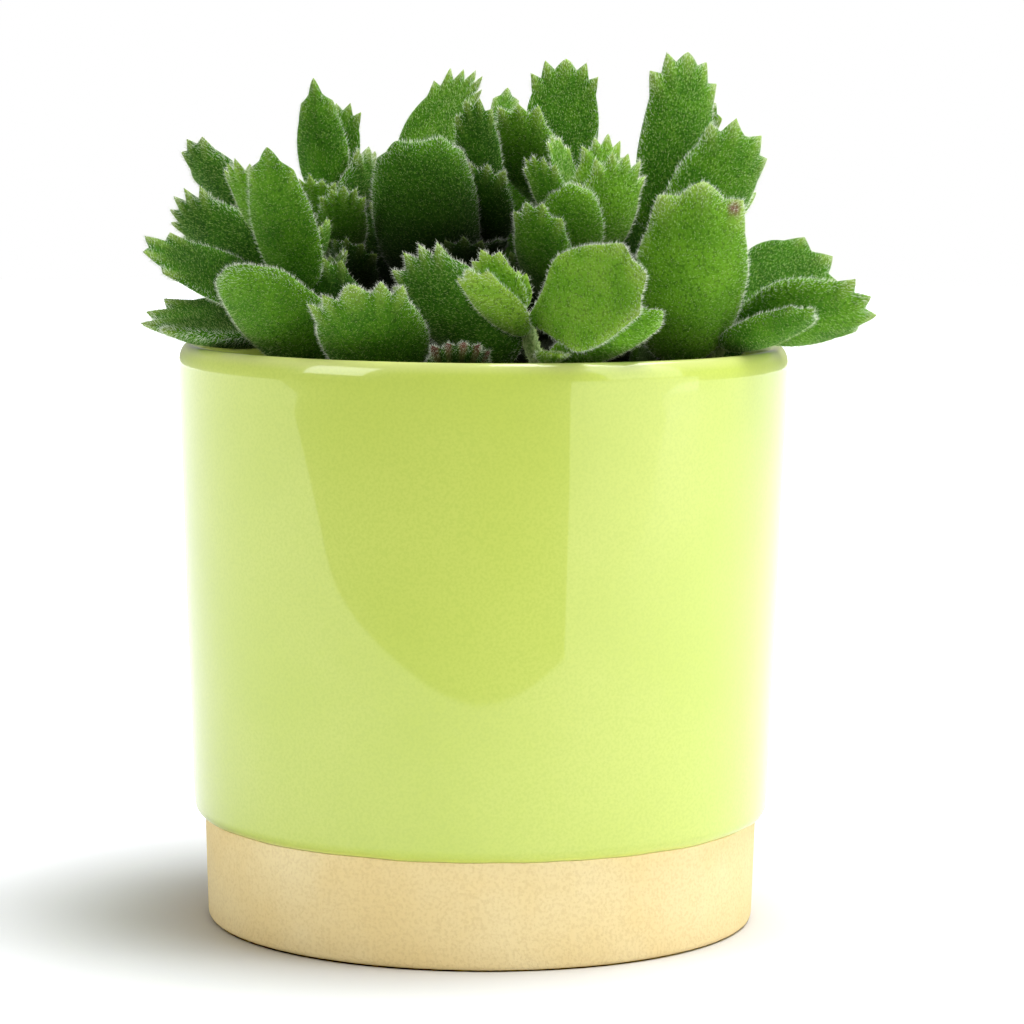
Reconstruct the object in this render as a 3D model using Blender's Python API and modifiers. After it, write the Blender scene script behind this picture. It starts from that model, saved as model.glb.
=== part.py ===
# Bears paw succulent in a round glazed pot.
# Blender 4.5 script, metres, +Z up. The origin is at the centre of the pot's flat bottom,
# and the side that the leaves were drawn from looks along +Y.
import math
import random

import bmesh
import bpy
from mathutils import Vector

MM = 0.001
GAP = 0.3  # left between pieces that touch, in mm

# The pot, in mm
POT_HEIGHT = 123.2
RIM_RADIUS = 65.0
LIP_ROUND = 2.2
GLAZE_END_HEIGHT = 22.4
GLAZE_END_RADIUS = 61.6
GLAZE_LIP = 3.0
FOOT_TOP_RADIUS = 59.3
FOOT_RADIUS = 58.7
FOOT_ROUND = 1.5
WALL = 4.2
FLOOR = 7.0
INNER_CORNER = 8.0
POT_STEPS = 56

# The soil and the plant's crown, in mm
SOIL_TOP = 107.4
SOIL_EDGE_DROP = 2.0
SOIL_STEPS = 40
CROWN_CENTRE = Vector((0.0, 0.0, 107.0))
CROWN_RADII = Vector((10.0, 10.0, 8.0))

# Eye point from which the front leaves were drawn, in mm
EYE = Vector((6.3, -800.0, 172.2))

# Leaf outline, as shares of its length and width
LEAF_NECK = 0.7
LEAF_SHOULDER = 0.45
LEAF_MIDDLE = 0.46
LEAF_FULLNESS = 0.72
LEAF_CAP = 0.11
LEAF_SEAT = GAP + 0.25
LEAF_RINGS = 6
SIDE_POINTS = 9
TOOTH_FAN = math.radians(68)

BRANCH_RADIUS = 2.4
BRANCH_TIP_RADIUS = 1.5
BRANCH_POINTS = 9

# Route of each branch from the crown to its growing tip, in mm
BRANCHES = {
    "left": [(-5, -3, 110), (-22, -12, 113), (-33, -18, 121), (-38, -19, 136), (-42, -17, 149)],
    "mid_left": [(-5, 2, 111), (-19, 7, 116), (-29, 10, 130), (-33, 11, 146), (-34, 12, 157)],
    "centre": [(-1, 1, 112), (-6, 3, 122), (-13, 5, 140), (-19, 7, 159)],
    "centre_right": [(1, 3, 112), (1, 6, 124), (1, 9, 140), (0, 10, 152)],
    "mid_back": [(3, 3, 111), (9, 13, 122), (14, 19, 143), (18, 21, 160)],
    "rosette": [(4, -2, 111), (13, -8, 119), (19, -13, 136), (20.5, -12, 150)],
    "front": [(2, -6, 110), (8, -27, 112), (12.5, -44, 118), (10, -47, 126), (8, -48, 133)],
    "front_left": [(-3, -6, 110), (-12, -26, 112), (-20, -40, 115), (-21.5, -42, 117)],
    "right": [(6, 1, 111), (22, 0, 115), (35, -2, 130), (39, 0, 144), (40, 1, 153)],
    "far_right": [(5, -3, 110), (26, -14, 112), (44, -23, 117), (50, -23, 128), (52, -20, 138)],
    "back_left": [(-4, 5, 110), (-17, 23, 113), (-27, 36, 124), (-31, 40, 146)],
    "back": [(1, 6, 110), (4, 27, 113), (6, 43, 122), (6, 47, 146)],
    "back_right": [(5, 5, 110), (21, 20, 113), (33, 31, 126), (37, 34, 150)],
}

# Leaves drawn from the front. Each line holds:
# branch, height of the base on it, tip (x, height, depth y) as seen from the eye point,
# width, direction that the upper face looks, teeth, curl in degrees (tip bends to the upper face)
FRONT_LEAVES = {
    "leaf_left_1": ("left", 128.5, (-73.4, 127.8, -20), 18, (-0.10, -0.30, 0.95), 4, 12),
    "leaf_left_2": ("left", 132, (-72.6, 143.2, -31), 14, (0.20, -0.60, 0.6), 4, 14),
    "leaf_left_3": ("left", 139, (-67.0, 152.3, -10), 16, (0.45, 0.85, 0.4), 6, 16),
    "leaf_left_4": ("left", 147, (-64.3, 164.8, 2), 13, (0.30, 0.85, 0.5), 4, 10),
    "leaf_left_5": ("left", 142.8, (-53.2, 161.6, -36), 13.5, (0.60, 0.75, 0.1), 5, 16),
    "leaf_left_6": ("left", 134, (-46.0, 163.0, -45), 14, (0.25, 0.90, 0.3), 3, 26),
    "leaf_left_7": ("left", 118.2, (-52.5, 139.5, -49), 21, (0.35, 0.80, 0.5), 3, 30),
    "leaf_mid_left_1": ("mid_left", 151, (-36.0, 177.0, 4), 11, (0.10, 0.95, 0.1), 3, 10),
    "leaf_mid_left_2": ("mid_left", 155, (-29.2, 174.0, 18), 10, (-0.20, -0.95, 0.2), 4, 8),
    "leaf_mid_left_3": ("mid_left", 140, (-29.8, 156.2, -10), 11, (-0.10, 0.90, 0.3), 5, 22),
    "leaf_mid_left_4": ("mid_left", 145, (-37.4, 158.3, -4), 10, (0.30, 0.85, 0.3), 5, 14),
    "leaf_mid_left_5": ("mid_left", 149, (-22.5, 163.8, 14), 11, (-0.70, 0.30, 0.7), 4, 14),
    "leaf_centre_1": ("centre", 138, (-13.5, 167.3, -9), 21, (0.05, 0.95, 0.2), 4, 18),
    "leaf_centre_2": ("centre", 157, (-2.3, 181.3, 14), 17, (-0.55, -0.65, 0.5), 6, 8),
    "leaf_centre_3": ("centre_right", 150.4, (-2.8, 175.2, -2), 10, (-0.20, 0.95, 0.2), 4, 10),
    "leaf_centre_4": ("centre_right", 143, (-1.5, 161.8, -5), 13, (0.20, 0.90, 0.3), 4, 14),
    "leaf_centre_5": ("centre", 133, (4.8, 145.8, -7), 11, (-0.30, 0.30, 0.9), 4, 10),
    "leaf_mid_back_1": ("mid_back", 157, (16.4, 183.6, 32), 16.5, (-0.10, -0.95, 0.2), 5, 12),
    "leaf_mid_back_2": ("mid_back", 152, (4.2, 174.0, 5), 14, (0.15, 0.95, 0.2), 4, 14),
    "leaf_mid_back_3": ("centre_right", 151.6, (5.1, 177.4, 33), 7.2, (0.10, 0.95, 0.3), 3, 8),
    "leaf_rosette_1": ("rosette", 131, (9.6, 153.3, -35), 14, (0.40, 0.85, 0.3), 4, 22),
    "leaf_rosette_2": ("rosette", 139, (17.6, 157.3, -27), 12, (-0.10, 0.90, 0.3), 3, 24),
    "leaf_rosette_3": ("rosette", 142.2, (31.8, 163.4, -15), 12.6, (-0.50, 0.85, 0.2), 5, 18),
    "leaf_rosette_4": ("rosette", 147, (25.6, 167.2, -6), 10.6, (-0.30, 0.90, 0.3), 5, 10),
    "leaf_rosette_5": ("rosette", 150, (14.4, 167.2, 7), 6.6, (0.50, -0.70, 0.3), 4, 10),
    "leaf_rosette_6": ("rosette", 145.6, (9.6, 163.2, -27.6), 9, (0.50, 0.80, 0.1), 5, 14),
    "leaf_front_1": ("front", 131, (34.8, 138.2, -76), 20, (0.05, -0.95, 0.2), 3, 10),
    "leaf_front_2": ("front", 122, (38.8, 130.6, -59), 12, (0.10, 0.55, 0.8), 3, 24),
    "leaf_front_3": ("front", 129, (-4.5, 138.3, -61), 10, (0.20, 0.60, 0.8), 3, 14),
    "leaf_front_4": ("front", 132, (-1.6, 142.6, -54), 9, (0.20, 0.80, 0.6), 3, 14),
    "leaf_front_5": ("front", 123.6, (17.2, 121.0, -61.5), 5, (0.20, -0.30, 0.9), 3, 8),
    "leaf_front_6": ("front", 126, (-17.0, 140.8, -40), 20, (0.20, 0.85, 0.5), 6, 20),
    "leaf_front_left_1": ("front_left", 115.2, (-28.4, 135.0, -56), 22, (0.10, 0.90, 0.3), 5, 14),
    "leaf_front_left_2": ("front_left", 111.4, (-3.6, 123.8, -60.5), 13.5, (0.00, 0.60, 0.8), 5, 14),
    "leaf_right_1": ("right", 146.0, (42.8, 185.2, 12.0), 15.6, (-0.25, 0.90, 0.2), 5, 14),
    "leaf_right_2": ("back_right", 150, (49.4, 174.6, 30), 8, (-0.20, -0.90, 0.3), 3, 8),
    "leaf_right_3": ("right", 144, (57.6, 169.6, 0), 19, (-0.30, 0.90, 0.3), 4, 14),
    "leaf_right_4": ("right", 138, (58.3, 155.5, 14), 7, (-0.30, 0.60, 0.7), 3, 10),
    "leaf_far_right_1": ("far_right", 117, (47.5, 155.5, -40), 22, (-0.10, 0.95, 0.2), 3, 24),
    "leaf_far_right_2": ("far_right", 135.5, (74.0, 141.8, -14), 16, (0.00, -0.75, 0.65), 3, 12),
    "leaf_far_right_3": ("far_right", 125, (70.8, 130.8, -39), 11, (-0.10, 0.50, 0.8), 3, 20),
    "leaf_far_right_4": ("far_right", 130, (84.0, 131.5, -25), 16, (-0.10, 0.70, 0.7), 4, 14),
}

# Leaves behind the plant, with the tip's true place (x, y, z) in mm
BACK_LEAVES = {
    "leaf_back_left_1": ("back_left", 126, (-50, 50, 133), 15, (0.3, -0.3, 0.9), 4, 14),
    "leaf_back_left_2": ("back_left", 131, (-25, 66, 138), 16, (0.0, -0.5, 0.9), 5, 14),
    "leaf_back_left_3": ("back_left", 138, (-54, 34, 152), 15, (0.6, 0.0, 0.7), 5, 14),
    "leaf_back_left_4": ("back_left", 140, (-14, 50, 153), 13, (-0.6, -0.2, 0.7), 4, 12),
    "leaf_back_left_5": ("back_left", 145, (-34, 58, 160), 14, (0.0, -0.8, 0.4), 5, 12),
    "leaf_back_1": ("back", 123, (10, 72, 134), 17, (0.0, -0.4, 0.9), 5, 16),
    "leaf_back_2": ("back", 129, (-12, 58, 141), 13, (0.5, -0.2, 0.8), 4, 14),
    "leaf_back_3": ("back", 134, (24, 56, 147), 13, (-0.5, -0.2, 0.8), 4, 12),
    "leaf_back_4": ("back", 142, (4, 64, 158), 14, (0.0, -0.8, 0.5), 5, 12),
    "leaf_back_5": ("back", 146, (9, 38, 160), 12, (0.1, 0.8, 0.4), 4, 10),
    "leaf_back_right_1": ("back_right", 127, (60, 38, 136), 16, (-0.4, -0.1, 0.9), 5, 14),
    "leaf_back_right_2": ("back_right", 132, (37, 60, 141), 15, (0.0, -0.5, 0.8), 4, 14),
    "leaf_back_right_3": ("back_right", 141, (54, 22, 151), 12, (-0.6, 0.3, 0.6), 4, 12),
    "leaf_back_right_4": ("back_right", 146, (50, 48, 160), 14, (-0.5, -0.5, 0.5), 5, 12),
    "leaf_back_right_5": ("back_right", 149, (24, 44, 160), 12, (0.7, -0.1, 0.5), 4, 10),
}


def clear_scene():
    for old in list(bpy.data.objects):
        bpy.data.objects.remove(old, do_unlink=True)


def new_collection(name):
    group = bpy.data.collections.new(name)
    bpy.context.scene.collection.children.link(group)
    return group


def finish_material(name, colour, roughness, coat=0.0):
    material = bpy.data.materials.new(name)
    material.use_nodes = True
    shader = material.node_tree.nodes["Principled BSDF"]
    shader.inputs["Base Color"].default_value = (*colour, 1.0)
    shader.inputs["Roughness"].default_value = roughness
    shader.inputs["Metallic"].default_value = 0.0
    shader.inputs["Coat Weight"].default_value = coat
    material.diffuse_color = (*colour, 1.0)
    return material


def add_object(name, data, group, material=None):
    item = bpy.data.objects.new(name, data)
    group.objects.link(item)
    if material is not None:
        data.materials.append(material)
    return item


def shade_round(mesh, angle=40):
    mesh.shade_smooth()
    mesh.set_sharp_from_angle(angle=math.radians(angle))


# Pot and soil: turned shapes

def arc(centre, radius, start, end, steps):
    """Points of an arc in the profile plane (radius, height), angles in degrees."""
    points = []
    for i in range(steps + 1):
        angle = math.radians(start + (end - start) * i / steps)
        points.append((centre[0] + radius * math.cos(angle), centre[1] + radius * math.sin(angle)))
    return points


def turned(name, profile, steps, group, material):
    mesh = bpy.data.meshes.new(name)
    points = [(r * MM, 0.0, z * MM) for r, z in profile]
    edges = [(i, i + 1) for i in range(len(points) - 1)]
    mesh.from_pydata(points, edges, [])
    item = add_object(name, mesh, group, material)
    screw = item.modifiers.new("turn", "SCREW")
    screw.angle = math.tau
    screw.steps = steps
    screw.render_steps = steps
    screw.use_merge_vertices = True
    screw.merge_threshold = 0.00001
    screw.use_smooth_shade = True
    return item


def wall_radius(height):
    """Outer radius of the glazed wall, straight from the glaze's lower edge to the rim."""
    share = (height - GLAZE_END_HEIGHT) / (POT_HEIGHT - LIP_ROUND - GLAZE_END_HEIGHT)
    return GLAZE_END_RADIUS + (RIM_RADIUS - GLAZE_END_RADIUS) * share


def make_pot(group):
    lip_centre = (RIM_RADIUS - LIP_ROUND, POT_HEIGHT - LIP_ROUND)
    inner_rim = RIM_RADIUS - WALL
    inner_foot = GLAZE_END_RADIUS - WALL - 1.0
    corner = (inner_foot - INNER_CORNER, FLOOR + INNER_CORNER)
    profile = [(0.0, FLOOR)]
    profile += arc(corner, INNER_CORNER, -90, 0, 3)
    profile += [(inner_rim, POT_HEIGHT - LIP_ROUND)]
    profile += arc((inner_rim + LIP_ROUND, POT_HEIGHT - LIP_ROUND), LIP_ROUND, 150, 90, 2)
    profile += arc(lip_centre, LIP_ROUND, 90, 0, 4)
    profile += [(wall_radius(70), 70.0)]
    glaze_centre = (GLAZE_END_RADIUS - GLAZE_LIP, GLAZE_END_HEIGHT + GLAZE_LIP)
    profile += arc(glaze_centre, GLAZE_LIP, 0, -75, 4)
    profile += [(FOOT_TOP_RADIUS, GLAZE_END_HEIGHT)]
    profile += arc((FOOT_RADIUS - FOOT_ROUND, FOOT_ROUND), FOOT_ROUND, 0, -90, 2)
    profile += [(0.0, 0.0)]
    glaze = finish_material("lime_glaze", (0.56, 0.68, 0.13), 0.12, 0.6)
    return turned("pot", profile, POT_STEPS, group, glaze)


def make_soil(group, cutters):
    inner_foot = GLAZE_END_RADIUS - WALL - 1.0
    inner_rim = RIM_RADIUS - WALL
    share = (SOIL_TOP - FLOOR - INNER_CORNER) / (POT_HEIGHT - LIP_ROUND - FLOOR - INNER_CORNER)
    top_radius = inner_foot + (inner_rim - inner_foot) * share - 2 * GAP
    corner_radius = inner_foot - 2 * GAP
    bottom = FLOOR + GAP
    profile = [(0.0, SOIL_TOP)]
    profile += [(top_radius * 0.45, SOIL_TOP + 0.5), (top_radius * 0.8, SOIL_TOP - 0.4)]
    profile += [(top_radius, SOIL_TOP - SOIL_EDGE_DROP)]
    centre = (corner_radius - INNER_CORNER, bottom + INNER_CORNER)
    profile += arc(centre, INNER_CORNER, 0, -90, 3)
    profile += [(0.0, bottom)]
    loam = finish_material("soil", (0.035, 0.022, 0.014), 0.95)
    soil = turned("soil", profile, SOIL_STEPS, group, loam)
    cutter = make_crown("crown_hole", CROWN_RADII + Vector((GAP, GAP, GAP)) * 1.3, cutters)
    cutter.hide_render = True
    cutter.display_type = "WIRE"
    cut = soil.modifiers.new("crown_hole", "BOOLEAN")
    cut.operation = "DIFFERENCE"
    cut.solver = "EXACT"
    cut.object = cutter
    return soil


# Stem: branches grown from one crown

def make_crown(name, radii, group):
    mesh = bpy.data.meshes.new(name)
    shape = bmesh.new()
    bmesh.ops.create_uvsphere(shape, u_segments=20, v_segments=10, radius=MM)
    bmesh.ops.scale(shape, vec=radii, verts=shape.verts)
    bmesh.ops.translate(shape, vec=CROWN_CENTRE * MM, verts=shape.verts)
    shape.to_mesh(mesh)
    shape.free()
    return add_object(name, mesh, group)


def smooth_route(points, count):
    """Evenly shared points on a Catmull-Rom curve through the given ones."""
    knots = [Vector(p) for p in points]
    knots = [2 * knots[0] - knots[1]] + knots + [2 * knots[-1] - knots[-2]]
    spans = len(points) - 1
    route = []
    for i in range(count):
        place = spans * i / (count - 1)
        k = min(int(place), spans - 1)
        t = place - k
        a, b, c, d = knots[k:k + 4]
        point = 0.5 * (2 * b + (c - a) * t + (2 * a - 5 * b + 4 * c - d) * t * t
                       + (3 * b - a - 3 * c + d) * t ** 3)
        route.append(point)
    return route


def branch_radius(share):
    return BRANCH_RADIUS + (BRANCH_TIP_RADIUS - BRANCH_RADIUS) * share


def branch_at(name, height):
    """Centre, direction and radius of a branch where it first reaches a height."""
    route = smooth_route(BRANCHES[name], BRANCH_POINTS)
    for k, (low, high) in enumerate(zip(route, route[1:])):
        if low.z <= height <= high.z:
            t = (height - low.z) / (high.z - low.z)
            return low.lerp(high, t), (high - low).normalized(), branch_radius((k + t) / (len(route) - 1))
    return route[-1], (route[-1] - route[-2]).normalized(), BRANCH_TIP_RADIUS


def branch_tube(name, group):
    route = smooth_route(BRANCHES[name], BRANCH_POINTS)
    curve = bpy.data.curves.new(name, "CURVE")
    curve.dimensions = "3D"
    curve.bevel_depth = BRANCH_RADIUS * MM
    curve.bevel_resolution = 2
    curve.use_fill_caps = True
    spline = curve.splines.new("POLY")
    spline.points.add(len(route) - 1)
    for i, (spot, place) in enumerate(zip(spline.points, route)):
        spot.co = (*(place * MM), 1.0)
        spot.radius = branch_radius(i / (len(route) - 1)) / BRANCH_RADIUS
    rod = add_object(name + "_rod", curve, group)
    bpy.context.view_layer.update()
    depsgraph = bpy.context.evaluated_depsgraph_get()
    mesh = bpy.data.meshes.new_from_object(rod.evaluated_get(depsgraph))
    shape = bmesh.new()
    shape.from_mesh(mesh)
    bmesh.ops.remove_doubles(shape, verts=shape.verts, dist=0.00002)
    bmesh.ops.recalc_face_normals(shape, faces=shape.faces)
    shape.to_mesh(mesh)
    shape.free()
    tube = add_object(name + "_branch", mesh, group)
    tube.matrix_world = rod.matrix_world
    bpy.data.objects.remove(rod, do_unlink=True)
    tube.hide_render = True
    tube.display_type = "WIRE"
    return tube


def make_stem(group, cutters):
    bark = finish_material("stem_felt", (0.19, 0.25, 0.09), 0.85)
    stem = make_crown("stem", CROWN_RADII, group)
    stem.data.materials.append(bark)
    for name in BRANCHES:
        join = stem.modifiers.new(name, "BOOLEAN")
        join.operation = "UNION"
        join.solver = "EXACT"
        join.object = branch_tube(name, cutters)
    return stem


# Leaves: a sphere drawn out to a thick paddle, its end cut into teeth

def smoothstep(low, high, value):
    t = min(max((value - low) / (high - low), 0.0), 1.0)
    return t * t * (3 - 2 * t)


def outline_point(angle, length, width):
    """Point of the smooth outline; angle 0 is the tip and pi the base."""
    share = (1 + math.cos(angle)) / 2
    breadth = LEAF_NECK + (1 - LEAF_NECK) * smoothstep(0, LEAF_SHOULDER, share)
    half = width / 2 * abs(math.sin(angle)) ** LEAF_FULLNESS * breadth
    return Vector((length * share, math.copysign(half, math.sin(angle)), 0.0))


def outline_angles(teeth):
    """Angles round the outline from the tip, with a valley and a point for each tooth."""
    half = [TOOTH_FAN * j / teeth for j in range(teeth + 1)]
    step = (math.tau - 2 * TOOTH_FAN) / (SIDE_POINTS + 1)
    sides = [TOOTH_FAN + step * (j + 1) for j in range(SIDE_POINTS)]
    return half + sides + [math.tau - a for a in reversed(half[1:])]


def sight(x, height, depth):
    """True place of a point seen at x and height in the plane y = 0 but standing at depth."""
    seen = Vector((x, 0.0, height))
    return EYE + (seen - EYE) * ((depth - EYE.y) / -EYE.y)


def clearance(points, branch):
    """Least distance from the points to a branch's surface."""
    route = smooth_route(BRANCHES[branch], BRANCH_POINTS)
    least = 1000.0
    for k, (low, high) in enumerate(zip(route, route[1:])):
        span = high - low
        for point in points:
            t = min(max((point - low).dot(span) / span.length_squared, 0.0), 1.0)
            distance = (point - low - span * t).length
            least = min(least, distance - branch_radius((k + t) / (len(route) - 1)))
    return least


def leaf_frame(branch, height, tip, facing, width):
    """Start of a leaf beside its branch, with its length and cross directions."""
    centre, along, thickness = branch_at(branch, height)
    away = tip - centre
    outward = (away - along * away.dot(along)).normalized()
    cap = LEAF_CAP * width
    seat = centre + outward * (thickness + GAP + cap)
    axis = (tip - seat).normalized()
    start = seat - axis * cap
    up = (Vector(facing) - axis * Vector(facing).dot(axis)).normalized()
    return start, axis, up, outward


def make_leaf(name, branch, height, tip, width, facing, teeth, curl, group, material):
    start, axis, up, outward = leaf_frame(branch, height, tip, facing, width)
    side = up.cross(axis)
    chord = (tip - start).length
    bend = math.radians(curl)
    length = chord * (bend / 2) / math.sin(bend / 2)
    tooth_length = min(0.10 * width + 0.5, 2.4)
    thickness = max(0.27 * width, 2.6)
    chance = random.Random(name)
    angles = outline_angles(teeth)
    count = len(angles)
    heights = []
    for k, angle in enumerate(angles):
        order = k if k <= teeth else count - k
        pointed = order <= teeth and (order + teeth) % 2 == 1
        heights.append(tooth_length * chance.uniform(0.75, 1.15) if pointed else 0.0)
    shape = bmesh.new()
    bmesh.ops.create_uvsphere(shape, u_segments=count, v_segments=LEAF_RINGS, radius=1.0)
    middle = Vector((LEAF_MIDDLE * length, 0.0, 0.0))
    reach = length - tooth_length
    for vert in shape.verts:
        spread = min(math.hypot(vert.co.x, vert.co.y), 1.0)
        turn = math.atan2(vert.co.y, vert.co.x) % math.tau
        k = round(turn / math.tau * count) % count
        edge = outline_point(angles[k], reach, width)
        outwards = Vector((math.cos(angles[k]) + 0.35, math.sin(angles[k]), 0.0)).normalized()
        flat = middle + (edge - middle) * spread + outwards * heights[k] * spread ** 8
        rise = thickness / 2 * (1 - spread ** 2.2) ** 0.7
        z = rise * 0.75 if vert.co.z > 0 else -rise * 1.25
        z += 0.22 * width / 2 * (2 * flat.y / width) ** 2
        turned_by = bend * flat.x / length
        radius = length / bend
        x = radius * math.sin(turned_by) - z * math.sin(turned_by)
        lift = radius * (1 - math.cos(turned_by)) + z * math.cos(turned_by)
        # the chord of the bent leaf is turned back onto the line from base to tip
        back = -bend / 2
        along = x * math.cos(back) - lift * math.sin(back)
        above = x * math.sin(back) + lift * math.cos(back)
        vert.co = start + axis * along + side * flat.y + up * above
    for _ in range(2):
        slide = outward * (LEAF_SEAT - clearance([vert.co for vert in shape.verts], branch))
        bmesh.ops.translate(shape, vec=slide, verts=shape.verts)
    bmesh.ops.scale(shape, vec=(MM, MM, MM), verts=shape.verts)
    mesh = bpy.data.meshes.new(name)
    shape.to_mesh(mesh)
    shape.free()
    shade_round(mesh, 60)
    return add_object(name, mesh, group, material)


def make_leaves(group):
    for name, (branch, height, seen, width, facing, teeth, curl) in FRONT_LEAVES.items():
        felt = finish_material(name + "_felt", (0.10, 0.23, 0.05), 0.8)
        make_leaf(name, branch, height, sight(*seen), width, facing, teeth, curl, group, felt)
    for name, (branch, height, tip, width, facing, teeth, curl) in BACK_LEAVES.items():
        felt = finish_material(name + "_felt", (0.10, 0.23, 0.05), 0.8)
        make_leaf(name, branch, height, Vector(tip), width, facing, teeth, curl, group, felt)


def main():
    clear_scene()
    plant = new_collection("bears_paw_succulent")
    cutters = new_collection("cutters")
    make_pot(plant)
    make_soil(plant, cutters)
    make_stem(plant, cutters)
    make_leaves(plant)


main()
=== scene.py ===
# Bears paw succulent in a lime-glazed pot: the finish of every piece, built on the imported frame.
# Lengths are in mm in the settings and become metres where a mesh is made.
import math
import random

import bmesh
import bpy
import numpy as np
from mathutils import Matrix, Vector, kdtree, noise


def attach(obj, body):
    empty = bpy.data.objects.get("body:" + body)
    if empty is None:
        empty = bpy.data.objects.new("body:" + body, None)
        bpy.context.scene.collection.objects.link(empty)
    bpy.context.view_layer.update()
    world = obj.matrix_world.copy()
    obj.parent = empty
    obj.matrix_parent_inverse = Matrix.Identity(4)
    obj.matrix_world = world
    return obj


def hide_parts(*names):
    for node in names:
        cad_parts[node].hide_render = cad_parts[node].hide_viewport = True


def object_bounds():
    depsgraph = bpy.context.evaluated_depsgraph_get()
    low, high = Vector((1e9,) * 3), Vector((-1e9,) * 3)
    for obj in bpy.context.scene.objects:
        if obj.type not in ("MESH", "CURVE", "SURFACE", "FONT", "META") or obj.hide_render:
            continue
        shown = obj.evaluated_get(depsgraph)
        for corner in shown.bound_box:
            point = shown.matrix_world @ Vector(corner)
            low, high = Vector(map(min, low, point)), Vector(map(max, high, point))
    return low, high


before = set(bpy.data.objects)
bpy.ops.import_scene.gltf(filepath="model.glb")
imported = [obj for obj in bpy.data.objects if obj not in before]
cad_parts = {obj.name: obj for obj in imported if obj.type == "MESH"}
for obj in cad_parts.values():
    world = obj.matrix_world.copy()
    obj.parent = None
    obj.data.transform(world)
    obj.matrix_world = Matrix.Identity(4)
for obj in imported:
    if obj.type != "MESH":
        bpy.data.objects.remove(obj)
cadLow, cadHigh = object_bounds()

mm = 0.001
bpy.context.scene.view_settings.view_transform = "Standard"


# Small helpers that several pieces share

def setNode(tree, kind, **settings):
    node = tree.nodes.new(kind)
    for key, value in settings.items():
        setattr(node, key, value)
    return node


def feed(tree, socket, value):   # a link or a plain value; colours are given without alpha
    if isinstance(value, bpy.types.NodeSocket):
        tree.links.new(value, socket)
    elif socket.type == "RGBA":
        socket.default_value = (*value, 1.0)
    else:
        socket.default_value = value


def calculate(tree, operation, a, b=0.0):
    node = setNode(tree, "ShaderNodeMath", operation=operation)
    feed(tree, node.inputs[0], a)
    feed(tree, node.inputs[1], b)
    return node.outputs[0]


def vectorMath(tree, operation, a, b):
    node = setNode(tree, "ShaderNodeVectorMath", operation=operation)
    feed(tree, node.inputs[0], a)
    feed(tree, node.inputs[1] if operation != "SCALE" else node.inputs["Scale"], b)
    return node.outputs[0]


def lengthOf(tree, vector):
    node = setNode(tree, "ShaderNodeVectorMath", operation="LENGTH")
    feed(tree, node.inputs[0], vector)
    return node.outputs["Value"]


def partOf(tree, vector, axis):
    node = setNode(tree, "ShaderNodeSeparateXYZ")
    feed(tree, node.inputs[0], vector)
    return node.outputs[axis]


def smoothRange(tree, value, low, high, least=0.0, most=1.0):
    node = setNode(tree, "ShaderNodeMapRange", interpolation_type="SMOOTHSTEP")
    feed(tree, node.inputs["Value"], value)
    for label, amount in (("From Min", low), ("From Max", high), ("To Min", least), ("To Max", most)):
        node.inputs[label].default_value = amount
    return node.outputs["Result"]


def mixColour(tree, factor, a, b):
    node = setNode(tree, "ShaderNodeMix", data_type="RGBA")
    feed(tree, node.inputs[0], factor)
    feed(tree, node.inputs[6], a)
    feed(tree, node.inputs[7], b)
    return node.outputs[2]


def tint(tree, amount, share, colour, tinted):   # lay a colour on, as strong as the amount's share
    return mixColour(tree, calculate(tree, "MULTIPLY", amount, share), colour, tinted)


def noiseValue(tree, place, scale, detail=2.0, low=0.0, high=1.0):   # low and high become 0 and 1
    node = setNode(tree, "ShaderNodeTexNoise")
    feed(tree, node.inputs["Vector"], place)
    node.inputs["Scale"].default_value = scale
    node.inputs["Detail"].default_value = detail
    return smoothRange(tree, node.outputs["Fac"], low, high)


def readAttribute(tree, name):
    return setNode(tree, "ShaderNodeAttribute", attribute_name=name).outputs["Fac"]


def newMaterial(name, colour, roughness, **sockets):
    material = bpy.data.materials.new(name)
    material.use_nodes = True
    tree = material.node_tree
    shader = tree.nodes["Principled BSDF"]
    feed(tree, shader.inputs["Base Color"], colour)
    feed(tree, shader.inputs["Roughness"], roughness)
    for key, value in sockets.items():
        feed(tree, shader.inputs[key.replace("_", " ")], value)
    return material, tree, shader, setNode(tree, "ShaderNodeTexCoord").outputs["Object"]


def addBump(tree, shader, height, distance, strength=1.0):
    bump = setNode(tree, "ShaderNodeBump")
    bump.inputs["Strength"].default_value = strength
    bump.inputs["Distance"].default_value = distance
    feed(tree, bump.inputs["Height"], height)
    feed(tree, shader.inputs["Normal"], bump.outputs["Normal"])


def meshFrom(name, points, faces, materials):
    mesh = bpy.data.meshes.new(name)
    mesh.from_pydata([tuple(p) for p in np.asarray(points, float) * mm], [], faces)
    for material in materials:
        mesh.materials.append(material)
    mesh.shade_smooth()
    return mesh


def addPiece(name, mesh):
    piece = bpy.data.objects.new(name, mesh)
    bpy.context.scene.collection.objects.link(piece)
    return piece


def storeValues(mesh, name, values):
    values = np.asarray(values, np.float32)
    if values.ndim == 1:
        mesh.attributes.new(name, "FLOAT", "POINT").data.foreach_set("value", values)
    else:
        mesh.attributes.new(name, "FLOAT_VECTOR", "POINT").data.foreach_set("vector", values.ravel())


def ease(low, high, value):
    t = np.clip((value - low) / (high - low), 0.0, 1.0)
    return t * t * (3 - 2 * t)


def ringFaces(rings, count, first=0):
    faces = []
    for r in range(rings - 1):
        for k in range(count):
            a = first + r * count + k
            b = first + r * count + (k + 1) % count
            faces.append((a, a + count, b + count, b))
    return faces


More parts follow.
